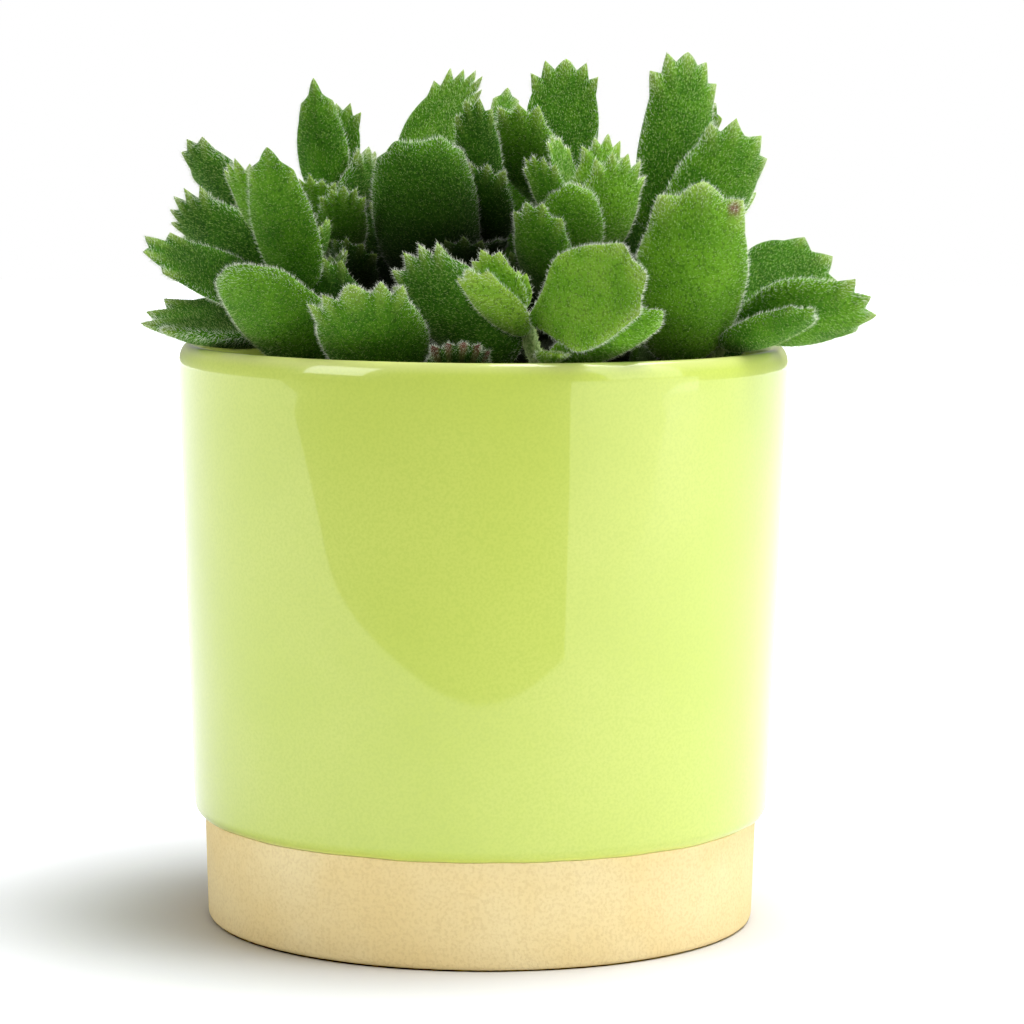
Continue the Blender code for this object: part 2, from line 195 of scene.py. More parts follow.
def turnedFaces(points, rings, count, firstPole, lastPole):   # rings closed by a point at each end
    last = len(points)
    low = (rings - 1) * count
    points += [firstPole, lastPole]
    faces = ringFaces(rings, count)
    faces += [(last, k, (k + 1) % count) for k in range(count)]
    faces += [(low + (k + 1) % count, low + k, last + 1) for k in range(count)]
    return faces


def wobble(points, scale, amount, seed=0.0):
    shift = Vector((seed, seed * 0.37, -seed * 0.61))
    return np.array([noise.noise(Vector(p) / scale + shift) for p in points]) * amount


def evaluated(piece, name):
    graph = bpy.context.evaluated_depsgraph_get()
    mesh = bpy.data.meshes.new_from_object(piece.evaluated_get(graph), depsgraph=graph)
    mesh.name = name
    return mesh


# Camera, floor and light

studio = {
    "cameraPlace": (0.0063, -0.8, 0.1722),   # the studio's lengths are in metres
    "cameraPitch": -0.106, "cameraRoll": 0.007, "focalLength": 131.84, "sensorWidth": 36.0,
    "floorReach": 3.0, "floorFront": -0.30,
    "floorColour": (0.84, 0.85, 0.89), "floorRoughness": 0.7, "glowColour": (0.94, 0.96, 1.0),
    # distance from the pot's axis, and how strongly the floor glows there: painted light that whitens it
    # away from the pot
    "glow": ((0.075, 0.0), (0.105, 0.24), (0.135, 0.42), (0.22, 0.52), (0.42, 0.66), (1.0, 1.0)),
    "worldLight": 0.34, "darkRoom": 0.20,
    "roomEdge": (-0.38, -0.28),   # where the dark room in front of the table gives way to the light one
}
lamps = {   # place, aim, size (wide, high), power
    "keyRight": ((0.78, -0.42, 0.62), (0.0, 0.0, 0.10), (0.6, 0.8), 3.4),
    "fillLeft": ((-0.72, -0.48, 0.55), (0.0, 0.0, 0.08), (0.42, 0.42), 2.8),
    "lowRight": ((0.72, -0.45, 0.02), (0.0, 0.0, 0.06), (0.85, 0.40), 1.8),
    "topPanel": ((0.30, 0.02, 0.95), (0.0, 0.0, 0.10), (0.6, 0.6), 8.8),
}


def makeCamera():
    lens = bpy.data.cameras.new("camera")
    lens.sensor_width = studio["sensorWidth"]
    lens.lens = studio["focalLength"]
    lens.clip_start = 0.01
    camera = bpy.data.objects.new("camera", lens)
    bpy.context.scene.collection.objects.link(camera)
    pitch = Matrix.Rotation(math.pi / 2 + studio["cameraPitch"], 4, "X")
    roll = Matrix.Rotation(studio["cameraRoll"], 4, "Z")
    camera.matrix_world = Matrix.Translation(studio["cameraPlace"]) @ pitch @ roll
    bpy.context.scene.camera = camera


def makeFloor():
    reach = studio["floorReach"]
    front = studio["floorFront"]
    corners = [(-reach, front, 0), (reach, front, 0), (reach, reach, 0), (-reach, reach, 0)]
    mesh = bpy.data.meshes.new("floor")
    mesh.from_pydata(corners, [], [(0, 1, 2, 3)])
    material, tree, shader, place = newMaterial("paleFloor", studio["floorColour"], studio["floorRoughness"])
    # Painted light: the floor glows more the farther it lies from the pot
    glow = setNode(tree, "ShaderNodeFloatCurve")
    feed(tree, glow.inputs["Value"], lengthOf(tree, place))
    curve = glow.mapping.curves[0]
    curve.points[0].location = studio["glow"][0]
    curve.points[1].location = studio["glow"][-1]
    for spot in studio["glow"][1:-1]:
        curve.points.new(*spot)
    glow.mapping.update()
    feed(tree, shader.inputs["Emission Color"], studio["glowColour"])
    feed(tree, shader.inputs["Emission Strength"], glow.outputs["Value"])
    mesh.materials.append(material)
    addPiece("floor", mesh)


def makeLights():
    for name, (place, aim, size, power) in lamps.items():
        data = bpy.data.lights.new(name, "AREA")
        data.shape = "RECTANGLE"
        data.size, data.size_y = size
        data.energy = power
        lamp = bpy.data.objects.new(name, data)
        bpy.context.scene.collection.objects.link(lamp)
        lamp.location = place
        lamp.rotation_euler = (Vector(aim) - Vector(place)).to_track_quat("-Z", "Y").to_euler()
    world = bpy.data.worlds.new("studio")
    world.use_nodes = True
    bpy.context.scene.world = world
    tree = world.node_tree
    back = tree.nodes["Background"]
    feed(tree, back.inputs["Color"], (1.0, 1.0, 1.0))
    seen = setNode(tree, "ShaderNodeLightPath").outputs["Is Camera Ray"]
    towards = partOf(tree, setNode(tree, "ShaderNodeTexCoord").outputs["Generated"], "Y")
    room = smoothRange(tree, towards, *studio["roomEdge"], studio["darkRoom"], studio["worldLight"])
    feed(tree, back.inputs["Strength"], calculate(tree, "MAXIMUM", seen, room))


makeCamera()
makeFloor()
makeLights()
print("studio ready")


# The pot: a turned shape with a glazed wall and a bare clay foot

pot = {
    "height": 123.2, "rimRadius": 65.0, "lipRound": 2.2, "innerLip": 1.6, "rollWide": 2.0, "rollTall": 4.6,
    "wall": 4.2, "floor": 7.0, "innerCorner": 8.0, "innerTaper": 1.0,
    "glazeEnd": 22.4, "glazeRadius": 61.6, "glazeLip": 3.0,
    "footTop": 59.3, "footRadius": 58.7, "footRound": 1.5, "footSteps": 6,
    "steps": 160, "insideSteps": 10, "rollSteps": 12, "outsideSteps": 26, "sharpAngle": 50,
    "unevenness": 0.14, "unevenSpread": (1.6, 28.0), "edgeWave": 0.25, "edgeBand": 1.2,
    "glaze": (0.56, 0.70, 0.12), "glazePale": (0.560, 0.680, 0.100), "glazePooled": (0.605, 0.710, 0.128),
    "glazeSpeck": (0.50, 0.63, 0.09), "glazeThin": (0.70, 0.74, 0.30), "thinBand": (2.6, 0.4),
    "clay": (0.72, 0.55, 0.26), "clayDark": (0.90, 0.70, 0.33), "clayLight": (0.94, 0.78, 0.43),
    "claySpeck": (0.62, 0.43, 0.17),
}


def arc(centre, radius, start, end, steps):
    turns = [math.radians(start + (end - start) * i / steps) for i in range(steps + 1)]
    return [(centre[0] + radius * math.cos(t), centre[1] + radius * math.sin(t)) for t in turns]


def wallRadius(height):
    share = (height - pot["glazeEnd"]) / (pot["height"] - pot["lipRound"] - pot["glazeEnd"])
    return pot["glazeRadius"] + (pot["rimRadius"] - pot["glazeRadius"]) * share


def innerRadius(height):   # above the rounded corner of the pot's inside
    low = pot["floor"] + pot["innerCorner"]
    share = (height - low) / (pot["height"] - pot["lipRound"] - low)
    foot = pot["glazeRadius"] - pot["wall"] - pot["innerTaper"]
    return foot + (pot["rimRadius"] - pot["wall"] - foot) * share


def potProfile():
    corner = pot["innerCorner"]
    low = pot["floor"] + corner
    innerFoot = innerRadius(low)
    inside = [(innerFoot * k / 4, pot["floor"]) for k in range(1, 4)]
    inside += arc((innerFoot - corner, low), corner, -90, 0, 6)
    top = pot["height"] - pot["lipRound"]
    inside += [(innerRadius(h), h) for h in np.linspace(low + 8, top - 4, pot["insideSteps"])]
    lip = pot["innerLip"]
    rim = arc((pot["rimRadius"] - pot["wall"] + lip, pot["height"] - lip), lip, 180, 90, 5)[:-1]
    # The glaze rolls over the rim in a soft shoulder
    for turn in np.linspace(math.pi / 2, 0.0, pot["rollSteps"]):
        rim.append((pot["rimRadius"] - pot["rollWide"] * (1 - math.cos(turn)),
                    pot["height"] - pot["rollTall"] * (1 - math.sin(turn))))
    lip = pot["glazeLip"]
    low = pot["glazeEnd"] + lip
    high = pot["height"] - pot["rollTall"]
    outside = [(wallRadius(h), h) for h in np.linspace(high - 2.5, low + 3, pot["outsideSteps"])]
    outside += arc((pot["glazeRadius"] - lip, low), lip, 0, -75, 8)
    end = pot["glazeEnd"]
    edge = pot["footRound"]
    foot = [(pot["footTop"] + 0.25, end + 0.05), (pot["footTop"], end - 0.4)]
    for k in range(1, pot["footSteps"]):
        share = k / pot["footSteps"]
        radius = pot["footTop"] + (pot["footRadius"] - pot["footTop"]) * share
        foot.append((radius, end * (1 - share) + edge * share))
    foot += arc((pot["footRadius"] - edge, edge), edge, 0, -90, 5)
    foot += [(pot["footRadius"] * k / 4, 0.0) for k in (3, 2, 1)]
    return inside + rim + outside, foot


def makePot():
    glazed, bare = potProfile()
    profile = glazed + bare
    steps = pot["steps"]
    wide, tall = pot["unevenSpread"]
    points = []
    for radius, height in profile:
        for k in range(steps):
            turn = math.tau * k / steps
            spot = Vector((math.cos(turn) * wide, math.sin(turn) * wide, height / tall))
            r = radius
            h = height
            if height > 1.0:
                r += noise.noise(spot) * pot["unevenness"]
            if abs(height - pot["glazeEnd"]) < pot["edgeBand"] and radius > pot["footRadius"]:
                h += noise.noise(spot * 4) * pot["edgeWave"]
            points.append((r * math.cos(turn), r * math.sin(turn), h))
    clayFrom = len(glazed) * steps
    pole = len(points)
    faces = turnedFaces(points, len(profile), steps, (0.0, 0.0, pot["floor"]), (0.0, 0.0, 0.0))
    mesh = meshFrom("pot_piece", points, faces, [glazeMaterial(), clayMaterial()])
    for face in mesh.polygons:
        if max(face.vertices) >= clayFrom and face.vertices[0] != pole:
            face.material_index = 1
    mesh.set_sharp_from_angle(angle=math.radians(pot["sharpAngle"]))
    piece = addPiece("pot_piece", mesh)
    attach(piece, "root")
    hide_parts("pot")


def glazeMaterial():
    material, tree, shader, place = newMaterial(
        "limeGlaze", pot["glaze"], 0.30, Coat_Weight=0.65, Coat_Roughness=0.035, Coat_IOR=1.6, IOR=1.4)
    pooled = noiseValue(tree, place, 22.0, 3.0, 0.3, 0.7)
    colour = mixColour(tree, pooled, pot["glazePale"], pot["glazePooled"])
    grain = noiseValue(tree, place, 1700.0, 2.0, 0.35, 0.7)
    colour = tint(tree, grain, 0.5, colour, pot["glazeSpeck"])
    band = [(pot["height"] - below) * mm for below in pot["thinBand"]]   # the glaze runs thin at the lip
    thin = smoothRange(tree, partOf(tree, place, "Z"), *band)
    feed(tree, shader.inputs["Base Color"], tint(tree, thin, 0.5, colour, pot["glazeThin"]))
    addBump(tree, shader, noiseValue(tree, place, 140.0), 0.00012, 0.25)
    return material


def clayMaterial():
    material, tree, shader, place = newMaterial("bareClay", pot["clay"], 0.92)
    cloud = noiseValue(tree, place, 38.0, 3.0, 0.3, 0.75)
    colour = mixColour(tree, cloud, pot["clayDark"], pot["clayLight"])
    grain = noiseValue(tree, place, 1500.0, 3.0, 0.42, 0.68)
    feed(tree, shader.inputs["Base Color"], tint(tree, grain, 0.22, colour, pot["claySpeck"]))
    addBump(tree, shader, grain, 0.0002, 0.4)
    return material


makePot()
print("pot turned")


# The soil: an uneven bed with loose crumbs and a few pale grains on it

soil = {
    "top": 107.4, "edgeDrop": 2.0, "gap": 0.3, "depth": 92.0, "rings": 34, "steps": 96,
    "lumps": ((1.1, 6.5, 3.0), (0.5, 2.0, 9.0)),   # height, width and layer of the unevenness
    "mound": 0.6, "moundReach": 30.0,
    "crumbs": 0.27, "grains": 0.018,   # on a square millimetre
    "crumbSize": (0.7, 2.1), "grainSize": (1.2, 2.4), "seeds": (4, 9),
    "bareRim": 1.5, "bareDepth": 2.6,   # no crumbs lie nearer to the pot or deeper than this
    "mix": ((0.030, 0.018, 0.010), (0.085, 0.055, 0.034)),
    "bark": ((0.040, 0.024, 0.013), (0.15, 0.095, 0.055)),
    "grit": ((0.40, 0.37, 0.31), (0.62, 0.60, 0.54)),
}


def soilMaterial(name, dark, light, roughness=0.97):
    material, tree, shader, place = newMaterial(name, dark, roughness)
    speck = noiseValue(tree, place, 900.0, 4.0, 0.4, 0.7)
    cloud = noiseValue(tree, place, 150.0, 2.0, 0.35, 0.7)
    colour = mixColour(tree, speck, dark, light)
    feed(tree, shader.inputs["Base Color"], tint(tree, cloud, 0.5, colour, dark))
    addBump(tree, shader, speck, 0.0004, 0.6)
    return material


def soilHeight(x, y, radius, topRadius):
    height = soil["top"] - soil["edgeDrop"] * ease(0.8, 1.0, radius / topRadius)
    height += soil["mound"] * (1 - ease(0.0, soil["moundReach"], radius))
    rough = 1 - ease(0.93, 1.0, radius / topRadius)
    for tall, wide, layer in soil["lumps"]:
        height += rough * noise.noise(Vector((x, y, layer)) / wide) * tall
    return height


def makeSoil():
    corner = pot["innerCorner"]
    bottom = pot["floor"] + soil["gap"]
    topRadius = innerRadius(soil["top"]) - 2 * soil["gap"]
    footRadius = innerRadius(pot["floor"] + corner) - 2 * soil["gap"]
    steps = soil["steps"]
    points = []
    for r in range(1, soil["rings"] + 1):
        radius = topRadius * r / soil["rings"]
        for k in range(steps):
            x = radius * math.cos(math.tau * k / steps)
            y = radius * math.sin(math.tau * k / steps)
            points.append((x, y, soilHeight(x, y, radius, topRadius)))
    edge = soil["top"] - soil["edgeDrop"]
    side = [(footRadius + (topRadius - footRadius) * t, edge - (1 - t) * soil["depth"]) for t in (0.7, 0.35)]
    side += arc((footRadius - corner, bottom + corner), corner, 0, -90, 4)
    side += [(footRadius * t, bottom) for t in (0.55, 0.2)]
    for radius, height in side:
        for k in range(steps):
            turn = math.tau * k / steps
            points.append((radius * math.cos(turn), radius * math.sin(turn), height))
    faces = turnedFaces(points, soil["rings"] + len(side), steps,
                        (0.0, 0.0, soil["top"] + soil["mound"]), (0.0, 0.0, bottom))
    mesh = meshFrom("soil_piece", points, faces, [soilMaterial("pottingMix", *soil["mix"])])
    onTop = [p[2] > soil["top"] - soil["bareDepth"] and math.hypot(p[0], p[1]) < topRadius - soil["bareRim"]
             for p in points]
    storeValues(mesh, "fuzz", onTop)
    piece = addPiece("soil_piece", mesh)
    crumbSeed, grainSeed = soil["seeds"]
    crumbs = crumbPiece("soil_crumbs", piece, soil["crumbs"], soil["crumbSize"], crumbSeed,
                        soilMaterial("barkCrumb", *soil["bark"]))
    grains = crumbPiece("soil_grains", piece, soil["grains"], soil["grainSize"], grainSeed,
                        soilMaterial("paleGrain", *soil["grit"], 0.85))
    for item in (piece, crumbs, grains):
        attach(item, "root")
    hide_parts("soil")


def newTree(name, inputs):
    tree = bpy.data.node_groups.new(name, "GeometryNodeTree")
    tree.interface.new_socket("Mesh", in_out="INPUT", socket_type="NodeSocketGeometry")
    for label, kind in inputs:
        tree.interface.new_socket(label, in_out="INPUT", socket_type="NodeSocket" + kind)
    tree.interface.new_socket("Mesh", in_out="OUTPUT", socket_type="NodeSocketGeometry")
    return tree, setNode(tree, "NodeGroupInput").outputs


def pieceValue(tree, name, kind="FLOAT"):
    node = setNode(tree, "GeometryNodeInputNamedAttribute", data_type=kind)
    node.inputs["Name"].default_value = name
    return node.outputs["Attribute"]


def scatter(tree, given):
    spread = setNode(tree, "GeometryNodeDistributePointsOnFaces", distribute_method="RANDOM")
    feed(tree, spread.inputs["Mesh"], given["Mesh"])
    amount = calculate(tree, "MULTIPLY", pieceValue(tree, "fuzz"), given["Density"])
    feed(tree, spread.inputs["Density"], amount)
    feed(tree, spread.inputs["Seed"], given["Seed"])
    return spread.outputs


def randomValue(tree, kind, low, high, given, offset):
    node = setNode(tree, "FunctionNodeRandomValue", data_type=kind)
    sockets = [s for s in node.inputs if s.enabled]
    feed(tree, sockets[0], low)
    feed(tree, sockets[1], high)
    seed = [s for s in node.inputs if s.name == "Seed"][0]
    feed(tree, seed, calculate(tree, "ADD", given["Seed"], offset))
    return [s for s in node.outputs if s.enabled][0]


def finishTree(tree, points, shape, turn, size, material):
    place = setNode(tree, "GeometryNodeInstanceOnPoints")
    feed(tree, place.inputs["Points"], points)
    feed(tree, place.inputs["Instance"], shape)
    feed(tree, place.inputs["Rotation"], turn)
    feed(tree, place.inputs["Scale"], size)
    whole = setNode(tree, "GeometryNodeRealizeInstances")
    feed(tree, whole.inputs[0], place.outputs[0])
    dress = setNode(tree, "GeometryNodeSetMaterial")
    feed(tree, dress.inputs["Geometry"], whole.outputs[0])
    feed(tree, dress.inputs["Material"], material)
    feed(tree, setNode(tree, "NodeGroupOutput").inputs[0], dress.outputs[0])


def crumbTree():
    tree, given = newTree("looseCrumbs", [
        ("Density", "Float"), ("Smallest", "Float"), ("Largest", "Float"), ("Seed", "Int"),
        ("Material", "Material")])
    spread = scatter(tree, given)
    lump = setNode(tree, "GeometryNodeMeshIcoSphere")
    lump.inputs["Radius"].default_value = 0.5
    lump.inputs["Subdivisions"].default_value = 1
    size = randomValue(tree, "FLOAT", given["Smallest"], given["Largest"], given, 1)
    squash = randomValue(tree, "FLOAT_VECTOR", (0.55, 0.55, 0.4), (1.0, 1.0, 0.9), given, 2)
    turn = randomValue(tree, "FLOAT_VECTOR", (0.0, 0.0, 0.0), (6.28, 6.28, 6.28), given, 3)
    size = vectorMath(tree, "SCALE", squash, size)
    finishTree(tree, spread["Points"], lump.outputs["Mesh"], turn, size, given["Material"])
    return tree


def grown(name, source, tree, values):
    modifier = source.modifiers.new("grow", "NODES")
    modifier.node_group = tree
    for item in tree.interface.items_tree:
        if item.in_out == "INPUT" and item.name in values:
            modifier[item.identifier] = values[item.name]
    mesh = evaluated(source, name)
    source.modifiers.remove(modifier)
    return addPiece(name, mesh)


def crumbPiece(name, source, density, sizes, seed, material):
    return grown(name, source, crumbTree(), {
        "Density": density / mm ** 2, "Smallest": sizes[0] * mm, "Largest": sizes[1] * mm,
        "Seed": seed, "Material": material})


makeSoil()
print("soil laid")


# The plant's branches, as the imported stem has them

branchForm = {
    "radius": 2.4, "tipRadius": 1.5, "seatPoints": 9, "tubePoints": 30, "sides": 12, "lastRing": 0.7,
    "crownPlace": (0, 0, 107.0), "crownRadii": (9.6, 9.6, 7.6), "voxel": 0.8, "relaxed": (0.5, 4),
    "knots": 0.22, "knotSize": 2.6,
    "woodyBand": (112.0, 132.0), "woodyWave": 8.0,   # woody below the band, green above it
    "bark": ((0.075, 0.050, 0.024), (0.20, 0.15, 0.085)), "green": ((0.13, 0.22, 0.045), (0.34, 0.43, 0.17)),
    "feltBand": (112.0, 126.0), "felt": 0.75, "comb": (0.0, 0.0, 0.6),
}
# The route of each branch from the crown to its growing tip
branches = {
    "left": [(-5, -3, 110), (-22, -12, 113), (-33, -18, 121), (-38, -19, 136), (-42, -17, 149)],
    "mid_left": [(-5, 2, 111), (-19, 7, 116), (-29, 10, 130), (-33, 11, 146), (-34, 12, 157)],
    "centre": [(-1, 1, 112), (-6, 3, 122), (-13, 5, 140), (-19, 7, 159)],
    "centre_right": [(1, 3, 112), (1, 6, 124), (1, 9, 140), (0, 10, 152)],
    "mid_back": [(3, 3, 111), (9, 13, 122), (14, 19, 143), (18, 21, 160)],
    "rosette": [(4, -2, 111), (13, -8, 119), (19, -13, 136), (20.5, -12, 150)],
    "front": [(2, -6, 110), (8, -27, 112), (12.5, -44, 118), (10, -47, 126), (8, -48, 133)],
    "front_left": [(-3, -6, 110), (-12, -26, 112), (-20, -40, 115), (-21.5, -42, 117)],
    "right": [(6, 1, 111), (22, 0, 115), (35, -2, 130), (39, 0, 144), (40, 1, 153)],
    "far_right": [(5, -3, 110), (26, -14, 112), (44, -23, 117), (50, -23, 128), (52, -20, 138)],
    "back_left": [(-4, 5, 110), (-17, 23, 113), (-27, 36, 124), (-31, 40, 146)],
    "back": [(1, 6, 110), (4, 27, 113), (6, 43, 122), (6, 47, 146)],
    "back_right": [(5, 5, 110), (21, 20, 113), (33, 31, 126), (37, 34, 150)],
}
# The leaves of each shoot, numbered from 1: branch, height of the base on it, tip (x, height, depth) as
# seen by the camera, width, direction that the upper face looks, teeth, curl in degrees, and what makes
# the leaf its own: tone from -1 (dark) to 1 (light), partly the leaf's own green and partly painted shade
# on leaves deep in the plant and painted light on those at its front, size of the teeth, wide and neck as
# shares, full (a lower number gives a squarer leaf), point and keel in mm, brown teeth, and the tooth that
# has a scar
frontLeaves = {
    "left": [
        ("left", 128.5, (-73.4, 127.8, -20), 18, (-0.10, -0.30, 0.95), 4, 12, dict(tone=-0.3, wide=1.25)),
        ("left", 132, (-72.6, 143.2, -31), 14, (0.20, -0.60, 0.6), 4, 14, dict(tone=-0.4, point=1.5)),
        ("left", 139, (-67.0, 152.3, -10), 16, (0.45, 0.85, 0.4), 6, 16, dict(tone=-0.55)),
        ("left", 147, (-64.3, 164.8, 2), 13, (0.30, 0.85, 0.5), 4, 10, dict(tone=-0.5)),
        ("left", 142.8, (-53.2, 161.6, -36), 13.5, (0.60, 0.75, 0.1), 5, 16, dict(tone=0.35)),
        ("left", 134, (-46.0, 163.0, -45), 14, (0.25, 0.90, 0.3), 3, 26,
         dict(tone=0.0, full=1.0, point=1.5, teeth=0.5)),
        ("left", 118.2, (-52.5, 139.5, -49), 21, (0.35, 0.80, 0.5), 3, 30,
         dict(tone=0.05, teeth=0.25, full=0.8, neck=1.15, wide=1.1)),
    ],
    "mid_left": [
        ("mid_left", 151, (-36.0, 177.0, 4), 11, (0.10, 0.95, 0.1), 3, 10,
         dict(tone=-0.1, keel=1.6, full=1.15, point=2.2, teeth=0.6)),
        ("mid_left", 155, (-29.2, 174.0, 18), 10, (-0.20, -0.95, 0.2), 4, 8, dict(tone=-0.1)),
        ("mid_left", 140, (-29.8, 156.2, -10), 11, (-0.10, 0.90, 0.3), 5, 22, dict(tone=0.15, neck=1.0)),
        ("mid_left", 145, (-37.4, 158.3, -4), 10, (0.30, 0.85, 0.3), 5, 14, dict(tone=0.4, wide=1.12)),
        ("mid_left", 149, (-22.5, 163.8, 14), 11, (-0.70, 0.30, 0.7), 4, 14, dict(tone=-0.3, wide=1.5)),
    ],
    "centre": [
        ("centre", 138, (-13.5, 167.3, -9), 21, (0.05, 0.95, 0.2), 4, 18,
         dict(tone=-0.25, wide=1.08, teeth=0.35, full=0.62, neck=1.1)),
        ("centre", 157, (-2.3, 181.3, 14), 17, (-0.55, -0.65, 0.5), 6, 8, dict(tone=0.0, neck=1.0)),
        ("centre_right", 150.4, (-2.8, 175.2, -2), 10, (-0.20, 0.95, 0.2), 4, 10, dict(tone=-0.45)),
        ("centre_right", 143, (-1.5, 161.8, -5), 13, (0.20, 0.90, 0.3), 4, 14, dict(tone=-0.4)),
        ("centre", 133, (4.8, 145.8, -7), 11, (-0.30, 0.30, 0.9), 4, 10, dict(tone=-0.4, teeth=0.4)),
    ],
    "mid_back": [
        ("mid_back", 157, (16.4, 183.6, 32), 16.5, (-0.10, -0.95, 0.2), 5, 12,
         dict(tone=-0.15, full=0.75)),
        ("mid_back", 152, (4.2, 174.0, 5), 14, (0.15, 0.95, 0.2), 4, 14, dict(tone=0.1)),
        ("centre_right", 151.6, (5.1, 177.4, 33), 7.2, (0.10, 0.95, 0.3), 3, 8, dict(tone=-0.2)),
    ],
    "rosette": [
        ("rosette", 131, (9.6, 153.3, -35), 14, (0.40, 0.85, 0.3), 4, 22,
         dict(tone=0.0, full=1.0, teeth=0.8)),
        ("rosette", 139, (17.6, 157.3, -27), 12, (-0.10, 0.90, 0.3), 3, 24,
         dict(tone=0.25, full=1.0, teeth=0.3, wide=1.15)),
        ("rosette", 142.2, (31.8, 163.4, -15), 12.6, (-0.50, 0.85, 0.2), 5, 18,
         dict(tone=0.35, wide=1.22)),
        ("rosette", 147, (25.6, 167.2, -6), 10.6, (-0.30, 0.90, 0.3), 5, 10, dict(tone=0.35, wide=1.15)),
        ("rosette", 150, (14.4, 167.2, 7), 6.6, (0.50, -0.70, 0.3), 4, 10, dict(tone=0.1)),
        ("rosette", 145.6, (9.6, 163.2, -27.6), 9, (0.50, 0.80, 0.1), 5, 14, dict(tone=0.1)),
    ],
    "front": [
        ("front", 131, (34.8, 138.2, -76), 20, (0.05, -0.95, 0.2), 3, 10,
         dict(tone=0.5, teeth=0.6, full=0.9, neck=0.4)),
        ("front", 122, (38.8, 130.6, -59), 12, (0.10, 0.55, 0.8), 3, 24,
         dict(tone=0.3, teeth=0.3, full=1.0)),
        ("front", 129, (-4.5, 138.3, -61), 10, (0.20, 0.60, 0.8), 3, 14, dict(tone=0.75)),
        ("front", 132, (-1.6, 142.6, -54), 9, (0.20, 0.80, 0.6), 3, 14, dict(tone=0.55)),
        ("front", 123.6, (17.2, 121.0, -61.5), 5, (0.20, -0.30, 0.9), 3, 8, dict(tone=0.5)),
        ("front", 126, (-17.0, 140.8, -40), 20, (0.20, 0.85, 0.5), 6, 20,
         dict(tone=-0.3, full=0.8, neck=1.0)),
    ],
    "front_left": [
        ("front_left", 115.2, (-28.4, 135.0, -56), 22, (0.10, 0.90, 0.3), 5, 14,
         dict(tone=-0.1, full=0.72, neck=1.0)),
        ("front_left", 111.4, (-3.6, 123.8, -60.5), 13.5, (0.00, 0.60, 0.8), 5, 14,
         dict(tone=-0.8, brown=1.6)),
    ],
    "right": [
        ("right", 146.0, (42.8, 185.2, 12.0), 15.6, (-0.25, 0.90, 0.2), 5, 14,
         dict(tone=-0.1, full=0.75, neck=1.15, wide=1.08)),
        ("back_right", 150, (49.4, 174.6, 30), 8, (-0.20, -0.90, 0.3), 3, 8, dict(tone=0.2)),
        ("right", 144, (57.6, 169.6, 0), 19, (-0.30, 0.90, 0.3), 4, 14, dict(tone=-0.05, full=0.75)),
        ("right", 138, (58.3, 155.5, 14), 7, (-0.30, 0.60, 0.7), 3, 10, dict(tone=0.4)),
    ],
    "far_right": [
        ("far_right", 117, (47.5, 155.5, -40), 22, (-0.10, 0.95, 0.2), 3, 24,
         dict(tone=0.35, scar=1.7, teeth=0.8, full=0.82, neck=1.0, wide=1.06)),
        ("far_right", 135.5, (74.0, 141.8, -14), 16, (0.00, -0.75, 0.65), 3, 12,
         dict(tone=-0.35, teeth=0.7, wide=1.2, neck=1.0)),
        ("far_right", 125, (70.8, 130.8, -39), 11, (-0.10, 0.50, 0.8), 3, 20,
         dict(tone=-0.1, teeth=0.5, wide=1.1, neck=1.0)),
        ("far_right", 130, (84.0, 131.5, -25), 16, (-0.10, 0.70, 0.7), 4, 14,
         dict(tone=0.0, wide=1.25, teeth=0.8)),
    ],
}
# The same for the leaves behind, with the tip's true place
backLeaves = {
    "back_left": [
        ("back_left", 126, (-50, 50, 133), 15, (0.3, -0.3, 0.9), 4, 14),
        ("back_left", 131, (-25, 66, 138), 16, (0.0, -0.5, 0.9), 5, 14),
        ("back_left", 138, (-54, 34, 152), 15, (0.6, 0.0, 0.7), 5, 14),
        ("back_left", 140, (-14, 50, 153), 13, (-0.6, -0.2, 0.7), 4, 12),
        ("back_left", 145, (-34, 58, 160), 14, (0.0, -0.8, 0.4), 5, 12),
    ],
    "back": [
        ("back", 123, (10, 72, 134), 17, (0.0, -0.4, 0.9), 5, 16),
        ("back", 129, (-12, 58, 141), 13, (0.5, -0.2, 0.8), 4, 14),
        ("back", 134, (24, 56, 147), 13, (-0.5, -0.2, 0.8), 4, 12),
        ("back", 142, (4, 64, 158), 14, (0.0, -0.8, 0.5), 5, 12),
        ("back", 146, (9, 38, 160), 12, (0.1, 0.8, 0.4), 4, 10),
    ],
    "back_right": [
        ("back_right", 127, (60, 38, 136), 16, (-0.4, -0.1, 0.9), 5, 14),
        ("back_right", 132, (37, 60, 141), 15, (0.0, -0.5, 0.8), 4, 14),
        ("back_right", 141, (54, 22, 151), 12, (-0.6, 0.3, 0.6), 4, 12),
        ("back_right", 146, (50, 48, 160), 14, (-0.5, -0.5, 0.5), 5, 12),
        ("back_right", 149, (24, 44, 160), 12, (0.7, -0.1, 0.5), 4, 10),
    ],
}


def smoothRoute(points, count):
    knots = [Vector(p) for p in points]
    knots = [2 * knots[0] - knots[1]] + knots + [2 * knots[-1] - knots[-2]]
    spans = len(points) - 1
    route = []
    for i in range(count):
        place = spans * i / (count - 1)
        k = min(int(place), spans - 1)
        t = place - k
        a, b, c, d = knots[k:k + 4]
        bow = (2 * a - 5 * b + 4 * c - d) * t * t + (3 * b - a - 3 * c + d) * t ** 3
        route.append(0.5 * (2 * b + (c - a) * t + bow))
    return route


def branchRadius(share):
    return branchForm["radius"] + (branchForm["tipRadius"] - branchForm["radius"]) * share


# Painted shade: colours darken towards the heart of the plant, where little light reaches: its centre,
# its reach, and the shares of the reach between which the light comes back
heart = {"place": (0, 0, 105), "reach": (86, 70, 80), "fade": (0.45, 0.78), "least": 0.05}
seatRoutes = {name: smoothRoute(points, branchForm["seatPoints"]) for name, points in branches.items()}


